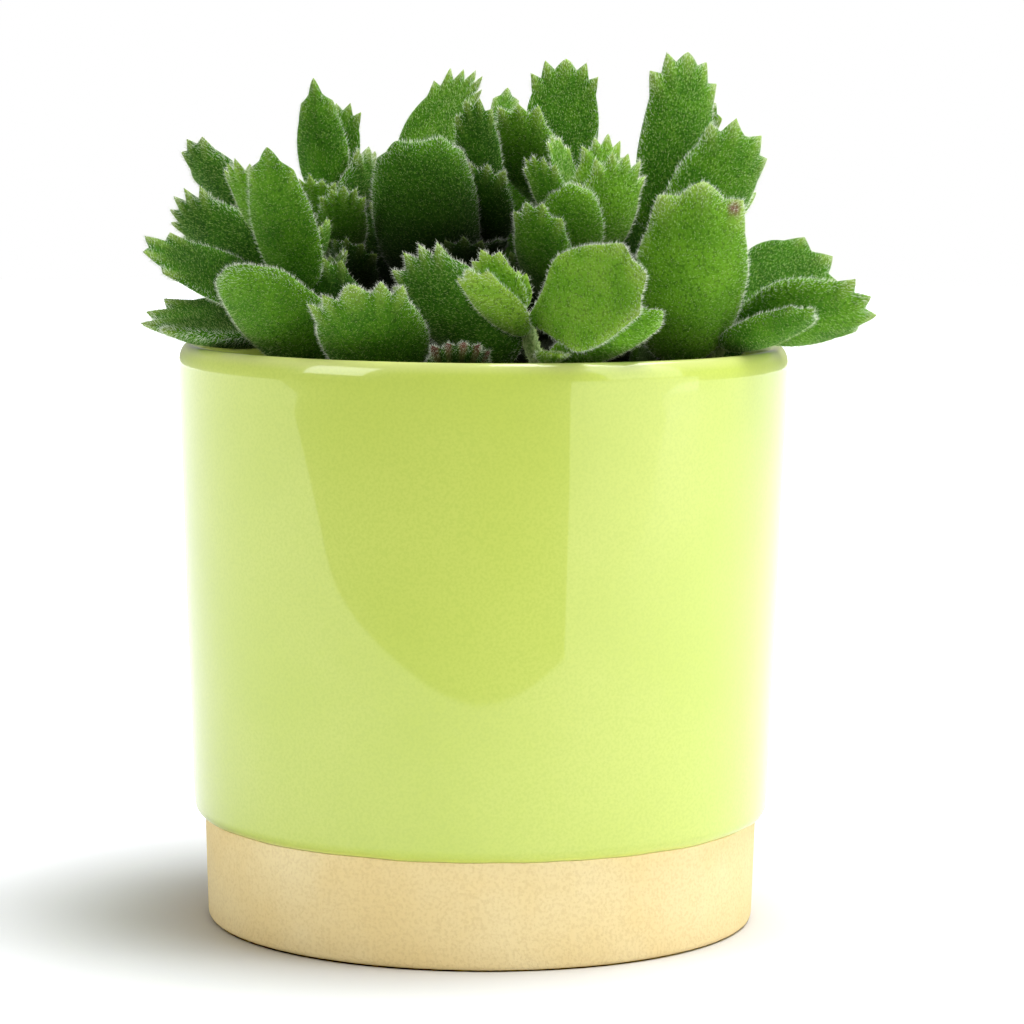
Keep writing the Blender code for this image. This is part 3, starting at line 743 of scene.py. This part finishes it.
def branchAt(name, height):
    route = seatRoutes[name]
    for k, (low, high) in enumerate(zip(route, route[1:])):
        if low.z <= height <= high.z:
            t = (height - low.z) / (high.z - low.z)
            return low.lerp(high, t), (high - low).normalized(), branchRadius((k + t) / (len(route) - 1))
    return route[-1], (route[-1] - route[-2]).normalized(), branchForm["tipRadius"]


def clearance(points, name):   # least distance from the points to the branch's surface
    route = seatRoutes[name]
    least = 1000.0
    for k, (low, high) in enumerate(zip(route, route[1:])):
        span = np.array(high - low)
        offset = points - np.array(low)
        t = np.clip(offset @ span / (span @ span), 0.0, 1.0)
        distance = np.linalg.norm(offset - t[:, None] * span, axis=1)
        least = min(least, float((distance - branchRadius((k + t) / (len(route) - 1))).min()))
    return least


def tubeShape(route, radii, sides, first):
    points = []
    side = (route[1] - route[0]).orthogonal().normalized()
    for k, place in enumerate(route):
        along = (route[min(k + 1, len(route) - 1)] - route[max(k - 1, 0)]).normalized()
        side = (side - along * side.dot(along)).normalized()
        other = along.cross(side)
        for s in range(sides):
            turn = math.tau * s / sides
            points.append(place + (side * math.cos(turn) + other * math.sin(turn)) * radii[k])
    faces = [tuple(reversed(f)) for f in ringFaces(len(route), sides, first)]
    top = first + (len(route) - 1) * sides
    faces.append(tuple(first + sides - 1 - s for s in range(sides)))
    faces.append(tuple(top + s for s in range(sides)))
    return points, faces


# Painted shade: darkens a colour towards the heart of the plant
def inTheShade(tree, place, colour):
    spot = vectorMath(tree, "SUBTRACT", place, tuple(v * mm for v in heart["place"]))
    spot = vectorMath(tree, "DIVIDE", spot, tuple(v * mm for v in heart["reach"]))
    light = smoothRange(tree, lengthOf(tree, spot), *heart["fade"], heart["least"])
    return mixColour(tree, light, (0.0, 0.0, 0.0), colour)


def stemMaterial():
    material, tree, shader, place = newMaterial(
        "stemFelt", (0.20, 0.30, 0.08), 0.85, Sheen_Weight=0.5, Sheen_Roughness=0.5,
        Sheen_Tint=(0.8, 0.9, 0.6))
    wave = calculate(tree, "MULTIPLY", noiseValue(tree, place, 120.0), branchForm["woodyWave"] * mm)
    height = calculate(tree, "ADD", partOf(tree, place, "Z"), wave)
    green = smoothRange(tree, height, *(v * mm for v in branchForm["woodyBand"]))
    speck = noiseValue(tree, place, 1400.0, 3.0, 0.42, 0.66)
    colour = mixColour(tree, green, mixColour(tree, speck, *branchForm["bark"]),
                       mixColour(tree, speck, *branchForm["green"]))
    feed(tree, shader.inputs["Base Color"], inTheShade(tree, place, colour))
    addBump(tree, shader, speck, 0.0003, 0.5)
    return material


def makeStem():
    points = []
    faces = []
    for route in branches.values():
        path = smoothRoute(route, branchForm["tubePoints"])
        count = len(path)
        radii = [branchRadius(k / (count - 1)) for k in range(count)]
        radii[-1] *= branchForm["lastRing"]
        more, sides = tubeShape(path, radii, branchForm["sides"], len(points))
        points += more
        faces += sides
    rough = addPiece("stem_rough", meshFrom("stem_rough", points, faces, [stemMaterial()]))
    shape = bmesh.new()
    shape.from_mesh(rough.data)
    place = Matrix.Translation(Vector(branchForm["crownPlace"]) * mm)
    place = place @ Matrix.Diagonal((*branchForm["crownRadii"], 1.0))
    bmesh.ops.create_uvsphere(shape, u_segments=24, v_segments=14, radius=mm, matrix=place)
    shape.to_mesh(rough.data)
    shape.free()
    remesh = rough.modifiers.new("skin", "REMESH")
    remesh.mode = "VOXEL"
    remesh.voxel_size = branchForm["voxel"] * mm
    relax = rough.modifiers.new("relax", "SMOOTH")
    relax.factor, relax.iterations = branchForm["relaxed"]
    mesh = evaluated(rough, "stem_piece")
    bpy.data.objects.remove(rough)
    places = np.empty(len(mesh.vertices) * 3, np.float32)
    mesh.vertices.foreach_get("co", places)
    places = places.reshape(-1, 3) / mm
    normals = np.array([v.normal for v in mesh.vertices])
    places += normals * wobble(places, branchForm["knotSize"], branchForm["knots"])[:, None]
    mesh.vertices.foreach_set("co", (places * mm).ravel())
    mesh.shade_smooth()
    storeValues(mesh, "fuzz", branchForm["felt"] * ease(*branchForm["feltBand"], places[:, 2]))
    storeValues(mesh, "comb", np.tile(branchForm["comb"], (len(places), 1)))
    piece = addPiece("stem_piece", mesh)
    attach(piece, "root")
    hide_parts("stem")
    return piece


# Leaves: each is a thick toothed paddle whose outline runs round from the tip

leafForm = {
    "neck": 0.82, "shoulder": 0.42, "middle": 0.46, "fullness": 0.92, "cap": 0.11, "gap": 0.3,
    "seat": -0.45,              # sunk into the branch, so that the leaf grows out of it
    "toothFan": 56.0, "toothTall": 1.35, "toothSharpness": 1.15, "toothSteps": 6, "sideSteps": 34,
    "toothShare": 0.10, "toothBase": 0.5, "toothMost": 2.4,   # a tooth's length by the leaf's width
    "toothVary": (0.75, 1.15), "toothLean": 0.8, "pointSpread": 0.35,
    "rings": (0.26, 0.48, 0.66, 0.79, 0.88, 0.94, 0.98),
    "plump": 0.27, "leastPlump": 2.6, "upper": 0.75, "lower": 1.25, "dish": 0.11,   # how both faces swell
    "ridge": 0.11, "wave": (7.0, 0.22), "grain": (1.4, 0.05),
    "faceFuzz": 0.36, "rimFuzz": 1.0, "comb": 0.55, "scarSize": 1.1,
}
eyePoint = Vector((6.3, -800.0, 172.2))   # the camera's place, from which the front leaves were laid out


def sight(x, height, depth):   # true place of what is seen at x and height in the plane y = 0
    seen = Vector((x, 0.0, height))
    return eyePoint + (seen - eyePoint) * ((depth - eyePoint.y) / -eyePoint.y)


def toothHeights(name, teeth, length):
    chance = random.Random(name)
    order = list(range(teeth + 1)) + [-j for j in range(teeth, 0, -1)]
    return {j: length * chance.uniform(*leafForm["toothVary"]) for j in order if (abs(j) + teeth) % 2 == 1}


def leafOutline(name, teeth, width, length, coarse, look):   # round from the tip: edge and teeth
    toothLength = min(leafForm["toothShare"] * width + leafForm["toothBase"], leafForm["toothMost"])
    toothSize = look.get("teeth", 1.0)
    fan = math.radians(leafForm["toothFan"])
    steps = teeth * max(leafForm["toothSteps"] // coarse, 2)
    sideSteps = leafForm["sideSteps"] // coarse
    angles = [fan * k / steps for k in range(steps + 1)]
    stride = (math.tau - 2 * fan) / sideSteps
    angles += [fan + stride * (k + 1) for k in range(sideSteps - 1)]
    angles = np.array(angles + [math.tau - a for a in reversed(angles[1:steps + 1])])
    signed = np.where(angles > math.pi, angles - math.tau, angles) / fan * teeth
    tooth = np.zeros(len(angles))
    for j, tall in toothHeights(name, teeth, toothLength * leafForm["toothTall"] * toothSize).items():
        tooth = np.maximum(tooth, tall * np.clip(1 - abs(signed - j), 0, 1) ** leafForm["toothSharpness"])
    share = (1 + np.cos(angles)) / 2
    neck = look.get("neck", leafForm["neck"])
    breadth = neck + (1 - neck) * ease(0, leafForm["shoulder"], share)
    half = width / 2 * abs(np.sin(angles)) ** look.get("full", leafForm["fullness"]) * breadth
    fromTip = np.minimum(angles, math.tau - angles)
    point = look.get("point", 0.0) * np.exp(-(fromTip / leafForm["pointSpread"]) ** 2)
    reach = length - toothLength * toothSize
    edge = np.stack([reach * share + point, np.copysign(half, np.sin(angles))], 1)
    push = np.stack([np.cos(angles) + leafForm["toothLean"], np.sin(angles)], 1)
    push *= (tooth / np.linalg.norm(push, axis=1))[:, None]
    return edge, push, tooth / toothLength, signed


def leafSurface(outline, teeth, width, length, coarse):   # each point's flat place, its rise and its part
    edge, push, toothShare, signed = outline
    middle = np.array([leafForm["middle"] * length, 0.0])
    plump = max(leafForm["plump"] * width, leafForm["leastPlump"]) / 2
    rings = leafForm["rings"][::coarse]
    rows = [(spread, 1.0) for spread in rings] + [(1.0, 0.0)]
    rows += [(spread, -1.0) for spread in reversed(rings)]
    swells = {1.0: plump * leafForm["upper"], 0.0: 0.0, -1.0: -plump * leafForm["lower"]}
    ridge = leafForm["ridge"] * np.cos(np.pi * (signed - teeth - 1)) * ease(0, 0.8, teeth - abs(signed))
    flat = []
    rise = []
    where = []
    for spread, face in rows:
        flat.append(middle + (edge - middle) * spread + push * spread ** 8)
        swell = swells[face] * (1 - spread ** 2.2) ** 0.62
        rise.append(swell + face * ridge * ease(0.55, 0.9, spread) * (1 - spread ** 14))
        onTooth = ease(0.25, 1.0, toothShare) * spread ** 10
        where.append(np.stack([np.full(len(edge), spread), onTooth], 1))
    flat = np.concatenate([middle[None]] + flat + [middle[None]])
    rise = np.concatenate([[swells[1.0]]] + rise + [[swells[-1.0]]])
    spreads, onTooth = np.concatenate([[(0.0, 0.0)]] + where + [[(0.0, 0.0)]]).T
    return flat, rise, spreads, onTooth


def leafShape(name, branch, height, tip, width, facing, teeth, curl, look=None, coarse=1):
    look = look or {}
    width = width * look.get("wide", 1.0)
    centre, along, thickness = branchAt(branch, height)
    away = tip - centre
    outward = (away - along * away.dot(along)).normalized()
    cap = leafForm["cap"] * width
    seat = centre + outward * (thickness + leafForm["gap"] + cap)
    axis = (tip - seat).normalized()
    start = seat - axis * cap
    up = (Vector(facing) - axis * Vector(facing).dot(axis)).normalized()
    side = up.cross(axis)
    bend = math.radians(curl)
    length = (tip - start).length * (bend / 2) / math.sin(bend / 2)
    outline = leafOutline(name, teeth, width, length, coarse, look)
    flat, rise, spreads, onTooth = leafSurface(outline, teeth, width, length, coarse)
    across = 2 * flat[:, 1] / width
    z = rise + leafForm["dish"] * width * across ** 2
    z -= look.get("keel", 0.0) * np.clip(1 - np.sqrt(across ** 2 + 0.01), 0, 1)
    turned = bend * flat[:, 0] / length
    radius = length / bend
    x = (radius - z) * np.sin(turned)
    lift = radius * (1 - np.cos(turned)) + z * np.cos(turned)
    forward = x * math.cos(bend / 2) + lift * math.sin(bend / 2)
    above = lift * math.cos(bend / 2) - x * math.sin(bend / 2)
    points = np.array(start) + forward[:, None] * np.array(axis)
    points += flat[:, 1:2] * np.array(side) + above[:, None] * np.array(up)
    for _ in range(2):
        points += np.array(outward) * (leafForm["seat"] - clearance(points, branch))
    count = len(outline[0])
    last = len(points) - 1
    low = last - count
    faces = [(0, 1 + k, 1 + (k + 1) % count) for k in range(count)]
    faces += ringFaces(last // count, count, 1)
    faces += [(low + (k + 1) % count, low + k, last) for k in range(count)]
    rimMore = leafForm["rimFuzz"] - leafForm["faceFuzz"]
    values = {
        "edge": ease(0.80, 1.0, spreads), "tooth": onTooth,
        # the leaf's tone: partly its own green, partly painted shade deep in the plant and painted light at
        # its front
        "tone": np.full(len(points), float(look.get("tone", 0.0))),
        "brown": np.clip(onTooth * look.get("brown", 0.0), 0, 1),
        "fuzz": leafForm["faceFuzz"] + rimMore * ease(0.9, 1.0, spreads),
        "comb": np.tile(np.array(axis) * leafForm["comb"], (len(points), 1)),
    }
    if "scar" in look:   # a dry brown patch at one tooth
        spot = outline[0][int(np.argmin(abs(outline[3] - look["scar"])))]
        values["brown"] = np.clip(1.7 - np.hypot(*(flat - spot).T) / leafForm["scarSize"], 0, 1)
    return points, faces, values


def leafMesh(name, shapes):
    points = []
    faces = []
    values = {}
    first = 0
    for places, sides, more in shapes:
        points.append(places)
        faces += [tuple(first + k for k in side) for side in sides]
        first += len(places)
        for key, value in more.items():
            values.setdefault(key, []).append(value)
    points = np.concatenate(points)
    mesh = meshFrom(name, points, faces, [feltMaterial])
    for key, value in values.items():
        storeValues(mesh, key, np.concatenate(value))
    shift = wobble(points, *leafForm["wave"]) + wobble(points, *leafForm["grain"], 5.0)
    normals = np.array([v.normal for v in mesh.vertices])
    mesh.vertices.foreach_set("co", ((points + normals * shift[:, None]) * mm).ravel())
    return mesh


feltLook = {
    "base": (0.06, 0.20, 0.02), "sheenTint": (0.75, 0.95, 0.45),
    "greens": ((0.0, (0.016, 0.066, 0.003)), (0.35, (0.052, 0.180, 0.006)),
               (0.65, (0.135, 0.340, 0.014)), (1.0, (0.33, 0.54, 0.06))),
    "level": 0.34, "byToneAndShade": 0.5, "byCloud": 0.16, "byEdge": 0.15,   # what moves the colour along the greens
    "speck": (0.34, 0.58, 0.09), "speckShare": 0.38, "pit": (0.006, 0.035, 0.002), "pitShare": 0.50,
    "toothTip": (0.42, 0.56, 0.12), "toothTipShare": 0.55, "brown": (0.20, 0.095, 0.075),
}


def leafMaterial():
    material, tree, shader, place = newMaterial(
        "leafFelt", feltLook["base"], 0.75, Sheen_Weight=0.06, Sheen_Roughness=0.4,
        Sheen_Tint=feltLook["sheenTint"], Specular_IOR_Level=0.1)
    level = feltLook["level"]
    cloud = noiseValue(tree, place, 170.0, 3.0, 0.3, 0.7)
    # the leaf's tone moves the colour along the greens: partly its own green, partly painted shade and
    # painted light
    for amount, share in ((readAttribute(tree, "tone"), "byToneAndShade"), (cloud, "byCloud"),
                          (readAttribute(tree, "edge"), "byEdge")):
        level = calculate(tree, "ADD", calculate(tree, "MULTIPLY", amount, feltLook[share]), level)
    ramp = setNode(tree, "ShaderNodeValToRGB")
    feed(tree, ramp.inputs["Fac"], level)
    stops = ramp.color_ramp.elements
    for k, (where, green) in enumerate(feltLook["greens"]):
        stop = stops[k] if k < 2 else stops.new(where)
        stop.position = where
        stop.color = (*green, 1.0)
    speck = noiseValue(tree, place, 2300.0, 2.0, 0.52, 0.72)   # felt seen end on
    colour = tint(tree, speck, feltLook["speckShare"], ramp.outputs["Color"], feltLook["speck"])
    pits = noiseValue(tree, place, 1700.0, 2.0, 0.32, 0.52)
    colour = mixColour(tree, pits, mixColour(tree, feltLook["pitShare"], colour, feltLook["pit"]), colour)
    tooth = readAttribute(tree, "tooth")
    colour = tint(tree, tooth, feltLook["toothTipShare"], colour, feltLook["toothTip"])
    colour = mixColour(tree, readAttribute(tree, "brown"), colour, feltLook["brown"])
    feed(tree, shader.inputs["Base Color"], inTheShade(tree, place, colour))
    addBump(tree, shader, noiseValue(tree, place, 1500.0, 3.0), 0.0005, 0.7)
    return material


stemPiece = makeStem()
print("stem grown")
feltMaterial = leafMaterial()
leafShapes = {name: [] for name in branches}
for table, truePlace in ((frontLeaves, sight), (backLeaves, lambda *tip: Vector(tip))):
    for shoot, rows in table.items():
        for number, (branch, height, tip, *rest) in enumerate(rows, 1):
            name = "leaf_{}_{}".format(shoot, number)
            leafShapes[branch].append((name, leafShape(name, branch, height, truePlace(*tip), *rest)))
for named in leafShapes.values():
    for name, shape in named:
        piece = addPiece(name + "_piece", leafMesh(name + "_piece", [shape]))
        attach(piece, "root")
        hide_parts(name)
print("leaves placed")


# Young and inner leaves that fill the shoots between the larger ones

fill = {
    "seed": 31, "tries": 240, "perBranch": 20, "room": 1.8, "lowest": 113.0,
    "longest": 25.0, "shortest": 11.0, "shortening": 1.3, "vary": (0.8, 1.1), "late": 0.25,
    "breadth": 0.60, "breadthVary": (0.9, 1.1), "teeth": (3, 4, 5), "curl": (10, 22), "tone": (-0.3, 0.25),
    "level": 12, "levelRise": 45, "levelVary": 8, "turn": 2.39996,   # angles in degrees, the turn in radians
    "rimRadius": 57.0, "rimClear": 127.0, "soilClear": 109.5, "frontLimit": -22.0,
    "skyTop": 158.0, "skySlope": 0.45, "skyFlat": 20.0,   # as seen by the camera, no inner leaf is higher
    "budSizes": ((8.5, 34.0), (6.0, 14.0)),   # length and splay of the outer and the inner pair at each tip
    # the deep leaves' dark tone is painted shade
    "budTurn": 0.5, "budBreadth": 0.55, "budLean": 0.8, "budTone": 0.45, "budRoom": 0.35, "deepShade": -0.5,
}
# Leaves deep between the shoots, laid out like the front leaves
deepLeaves = [
    ("mid_left", 147, (-22.4, 163.8, 24), 13, (0.10, 0.90, 0.3), 4, 12),
    ("centre", 128, (-26.0, 152.0, 12), 13, (-0.20, 0.90, 0.3), 4, 12),
    ("mid_left", 132, (-27.5, 145.0, -12), 12, (0.30, 0.90, 0.4), 4, 14),
    ("right", 136, (33.0, 157.0, 8), 13, (0.10, 0.90, 0.3), 4, 12),
    ("left", 121, (-57.0, 138.0, -6), 14, (0.10, 0.80, 0.5), 4, 14),
    ("far_right", 122, (58.5, 139.0, -2), 14, (0.00, 0.90, 0.4), 4, 14),
    ("centre_right", 128, (-7.0, 146.0, -12), 13, (0.10, 0.90, 0.4), 4, 14),
    ("rosette", 125, (7.0, 143.5, -20), 12, (0.10, 0.90, 0.4), 4, 14),
    ("left", 119, (-38.5, 139.0, -26), 13, (-0.10, 0.90, 0.4), 4, 14),
]


def seenFrom(points):
    scale = -eyePoint.y / (points[:, 1] - eyePoint.y)
    return (points[:, 0] - eyePoint.x) * scale + eyePoint.x, (points[:, 2] - eyePoint.z) * scale + eyePoint.z


def fits(points, trees, room):
    if points[:, 2].min() < fill["soilClear"]:
        return False
    outer = np.hypot(points[:, 0], points[:, 1]) > fill["rimRadius"]
    if outer.any() and points[outer, 2].min() < fill["rimClear"]:
        return False
    if (points < np.array(cadLow) / mm).any() or (points > np.array(cadHigh) / mm).any():
        return False
    x, height = seenFrom(points)
    if (height > fill["skyTop"] - fill["skySlope"] * np.clip(abs(x) - fill["skyFlat"], 0, None)).any():
        return False
    for point in points[::3]:
        for tree in trees:
            if tree.find(Vector(point))[2] < room:
                return False
    return True


def treeOf(points):
    tree = kdtree.KDTree(len(points))
    for k, point in enumerate(points):
        tree.insert(Vector(point), k)
    tree.balance()
    return tree


def youngLeaf(branch, attempt, chance):
    route = seatRoutes[branch]
    lowest = max(fill["lowest"], route[1].z)
    share = chance.random()
    height = lowest + (route[-1].z - lowest) * share
    centre, along, _ = branchAt(branch, height)
    turn = attempt * fill["turn"]
    side = along.orthogonal().normalized()
    vary = fill["levelVary"]
    level = math.radians(fill["level"] + fill["levelRise"] * share + chance.uniform(-vary, vary))
    outward = side * math.cos(turn) + along.cross(side) * math.sin(turn)
    length = fill["longest"] + (fill["shortest"] - fill["longest"]) * share ** fill["shortening"]
    length *= chance.uniform(*fill["vary"]) * (1.0 - fill["late"] * attempt / fill["tries"])
    tip = centre + (outward * math.cos(level) + along * math.sin(level)) * length
    width = length * fill["breadth"] * chance.uniform(*fill["breadthVary"])
    teeth = chance.choice(fill["teeth"])
    if tip.y < fill["frontLimit"]:
        return None
    name = "{}_{}".format(branch, attempt)
    curl = chance.uniform(*fill["curl"])
    return leafShape(name, branch, height, tip, width, along, teeth, curl,
                     {"tone": chance.uniform(*fill["tone"])}, 2)


def budsOf(branch):
    tip, along, _ = branchAt(branch, 1000.0)   # any height above the tip gives the tip
    side = along.orthogonal().normalized()
    for pair, (length, splay) in enumerate(fill["budSizes"]):
        splay = math.radians(splay)
        for flip in (0, 1):
            turn = flip * math.pi + pair * math.pi / 2 + fill["budTurn"]
            outward = side * math.cos(turn) + along.cross(side) * math.sin(turn)
            end = tip + (outward * math.sin(splay) + along * math.cos(splay)) * length
            name = "{}_bud_{}_{}".format(branch, pair, flip > 0)
            yield leafShape(name, branch, 1000.0, end, length * fill["budBreadth"],
                            along - outward * fill["budLean"], 3, 12, {"tone": fill["budTone"]}, 2)


def fillShoots():
    chance = random.Random(fill["seed"])
    taken = [treeOf(np.concatenate([s[0] for named in leafShapes.values() for _, s in named]))]
    added = {name: [] for name in branches}
    for number, (branch, height, tip, *rest) in enumerate(deepLeaves, 1):
        # Painted shade: leaves deep between the shoots get a dark tone
        look = {"tone": fill["deepShade"]}
        shape = leafShape("deep_{}".format(number), branch, height, sight(*tip), *rest, look, 2)
        added[branch].append(shape)
        taken.append(treeOf(shape[0]))
    for branch, shapes in added.items():
        for attempt in range(fill["tries"]):
            if len(shapes) >= fill["perBranch"]:
                break
            shape = youngLeaf(branch, attempt, chance)
            if shape and fits(shape[0], taken, fill["room"]):
                shapes.append(shape)
                taken.append(treeOf(shape[0]))
        shapes += [bud for bud in budsOf(branch) if fits(bud[0], taken[:1], fill["budRoom"])]
    return added


addedShapes = fillShoots()
for branch, shapes in addedShapes.items():
    if shapes:
        piece = addPiece("inner_leaves_" + branch, leafMesh("inner_leaves_" + branch, shapes))
        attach(piece, "root")
print("shoots filled with", sum(len(s) for s in addedShapes.values()), "young leaves")


# Felt: short pale hairs over every leaf, thickest along the rim, and on the green stems

hairs = {
    "density": 7.2,             # hairs on a square millimetre where the felt is thickest
    "length": (0.45, 0.95), "faceShare": 0.85, "rimExtra": 0.45,
    "thickness": 0.075, "stand": 0.75, "scatter": 0.42, "innerShare": 0.45,
    "seeds": (1, 2, 20),        # stems, first branch's leaves, first branch's inner leaves
    "rimColour": (0.90, 0.96, 0.80), "darkColour": (0.26, 0.46, 0.06), "lightColour": (0.80, 0.92, 0.46),
}


def hairTree():
    tree, given = newTree("feltHairs", [
        ("Density", "Float"), ("Shortest", "Float"), ("Longest", "Float"), ("Thickness", "Float"),
        ("Stand", "Float"), ("Scatter", "Float"), ("Seed", "Int"), ("Material", "Material")])
    spread = scatter(tree, given)
    upright = vectorMath(tree, "SCALE", spread["Normal"], given["Stand"])
    stray = randomValue(tree, "FLOAT_VECTOR", (-1.0, -1.0, -1.0), (1.0, 1.0, 1.0), given, 1)
    lean = vectorMath(tree, "ADD", upright, pieceValue(tree, "comb", "FLOAT_VECTOR"))
    lean = vectorMath(tree, "ADD", lean, vectorMath(tree, "SCALE", stray, given["Scatter"]))
    aim = setNode(tree, "FunctionNodeAlignRotationToVector", axis="Z")
    feed(tree, aim.inputs["Vector"], lean)
    spike = setNode(tree, "GeometryNodeMeshCone", fill_type="NONE")
    spike.inputs["Vertices"].default_value = 3
    spike.inputs["Radius Top"].default_value = 0.0
    spike.inputs["Radius Bottom"].default_value = 0.5
    spike.inputs["Depth"].default_value = 1.0
    size = setNode(tree, "ShaderNodeCombineXYZ")
    feed(tree, size.inputs["X"], given["Thickness"])
    feed(tree, size.inputs["Y"], given["Thickness"])
    longer = calculate(tree, "MULTIPLY", pieceValue(tree, "edge"), hairs["rimExtra"])
    longer = calculate(tree, "ADD", longer, hairs["faceShare"])
    tall = randomValue(tree, "FLOAT", given["Shortest"], given["Longest"], given, 2)
    feed(tree, size.inputs["Z"], calculate(tree, "MULTIPLY", tall, longer))
    turn = aim.outputs["Rotation"]
    finishTree(tree, spread["Points"], spike.outputs["Mesh"], turn, size.outputs[0], given["Material"])
    return tree


def hairMaterial():
    material, tree, shader, place = newMaterial("paleHair", hairs["rimColour"], 0.6, Specular_IOR_Level=0.25)
    # the hairs follow the leaf's tone, partly its own green and partly painted shade and painted light
    tone = calculate(tree, "ADD", calculate(tree, "MULTIPLY", readAttribute(tree, "tone"), 0.5), 0.5)
    face = mixColour(tree, tone, hairs["darkColour"], hairs["lightColour"])
    rim = mixColour(tree, readAttribute(tree, "edge"), face, hairs["rimColour"])
    feed(tree, shader.inputs["Base Color"], inTheShade(tree, place, rim))
    return material


def growHairs(name, source, seed, share=1.0):
    shortest, longest = hairs["length"]
    felt = grown(name, source, feltTree, {
        "Density": hairs["density"] * share / mm ** 2, "Shortest": shortest * mm, "Longest": longest * mm,
        "Thickness": hairs["thickness"] * mm, "Stand": hairs["stand"], "Scatter": hairs["scatter"],
        "Seed": seed, "Material": hairLook})
    felt.data.shade_smooth()
    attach(felt, "root")
    return len(felt.data.polygons)


def growOn(name, shapes, seed, share=1.0):   # all leaves of a branch carry one piece of felt
    source = addPiece("felt_source", leafMesh("felt_source", shapes))
    faces = growHairs(name, source, seed, share)
    bpy.data.objects.remove(source)
    return faces


feltTree = hairTree()
hairLook = hairMaterial()
stemSeed, leafSeed, innerSeed = hairs["seeds"]
hairFaces = growHairs("hairs_stem", stemPiece, stemSeed)
for number, branch in enumerate(branches):
    shapes = [shape for _, shape in leafShapes[branch]]
    hairFaces += growOn("hairs_" + branch, shapes, number + leafSeed)
    if addedShapes[branch]:
        inner = addedShapes[branch]
        hairFaces += growOn("hairs_inner_" + branch, inner, number + innerSeed, hairs["innerShare"])
print("hairs grown:", hairFaces, "faces")
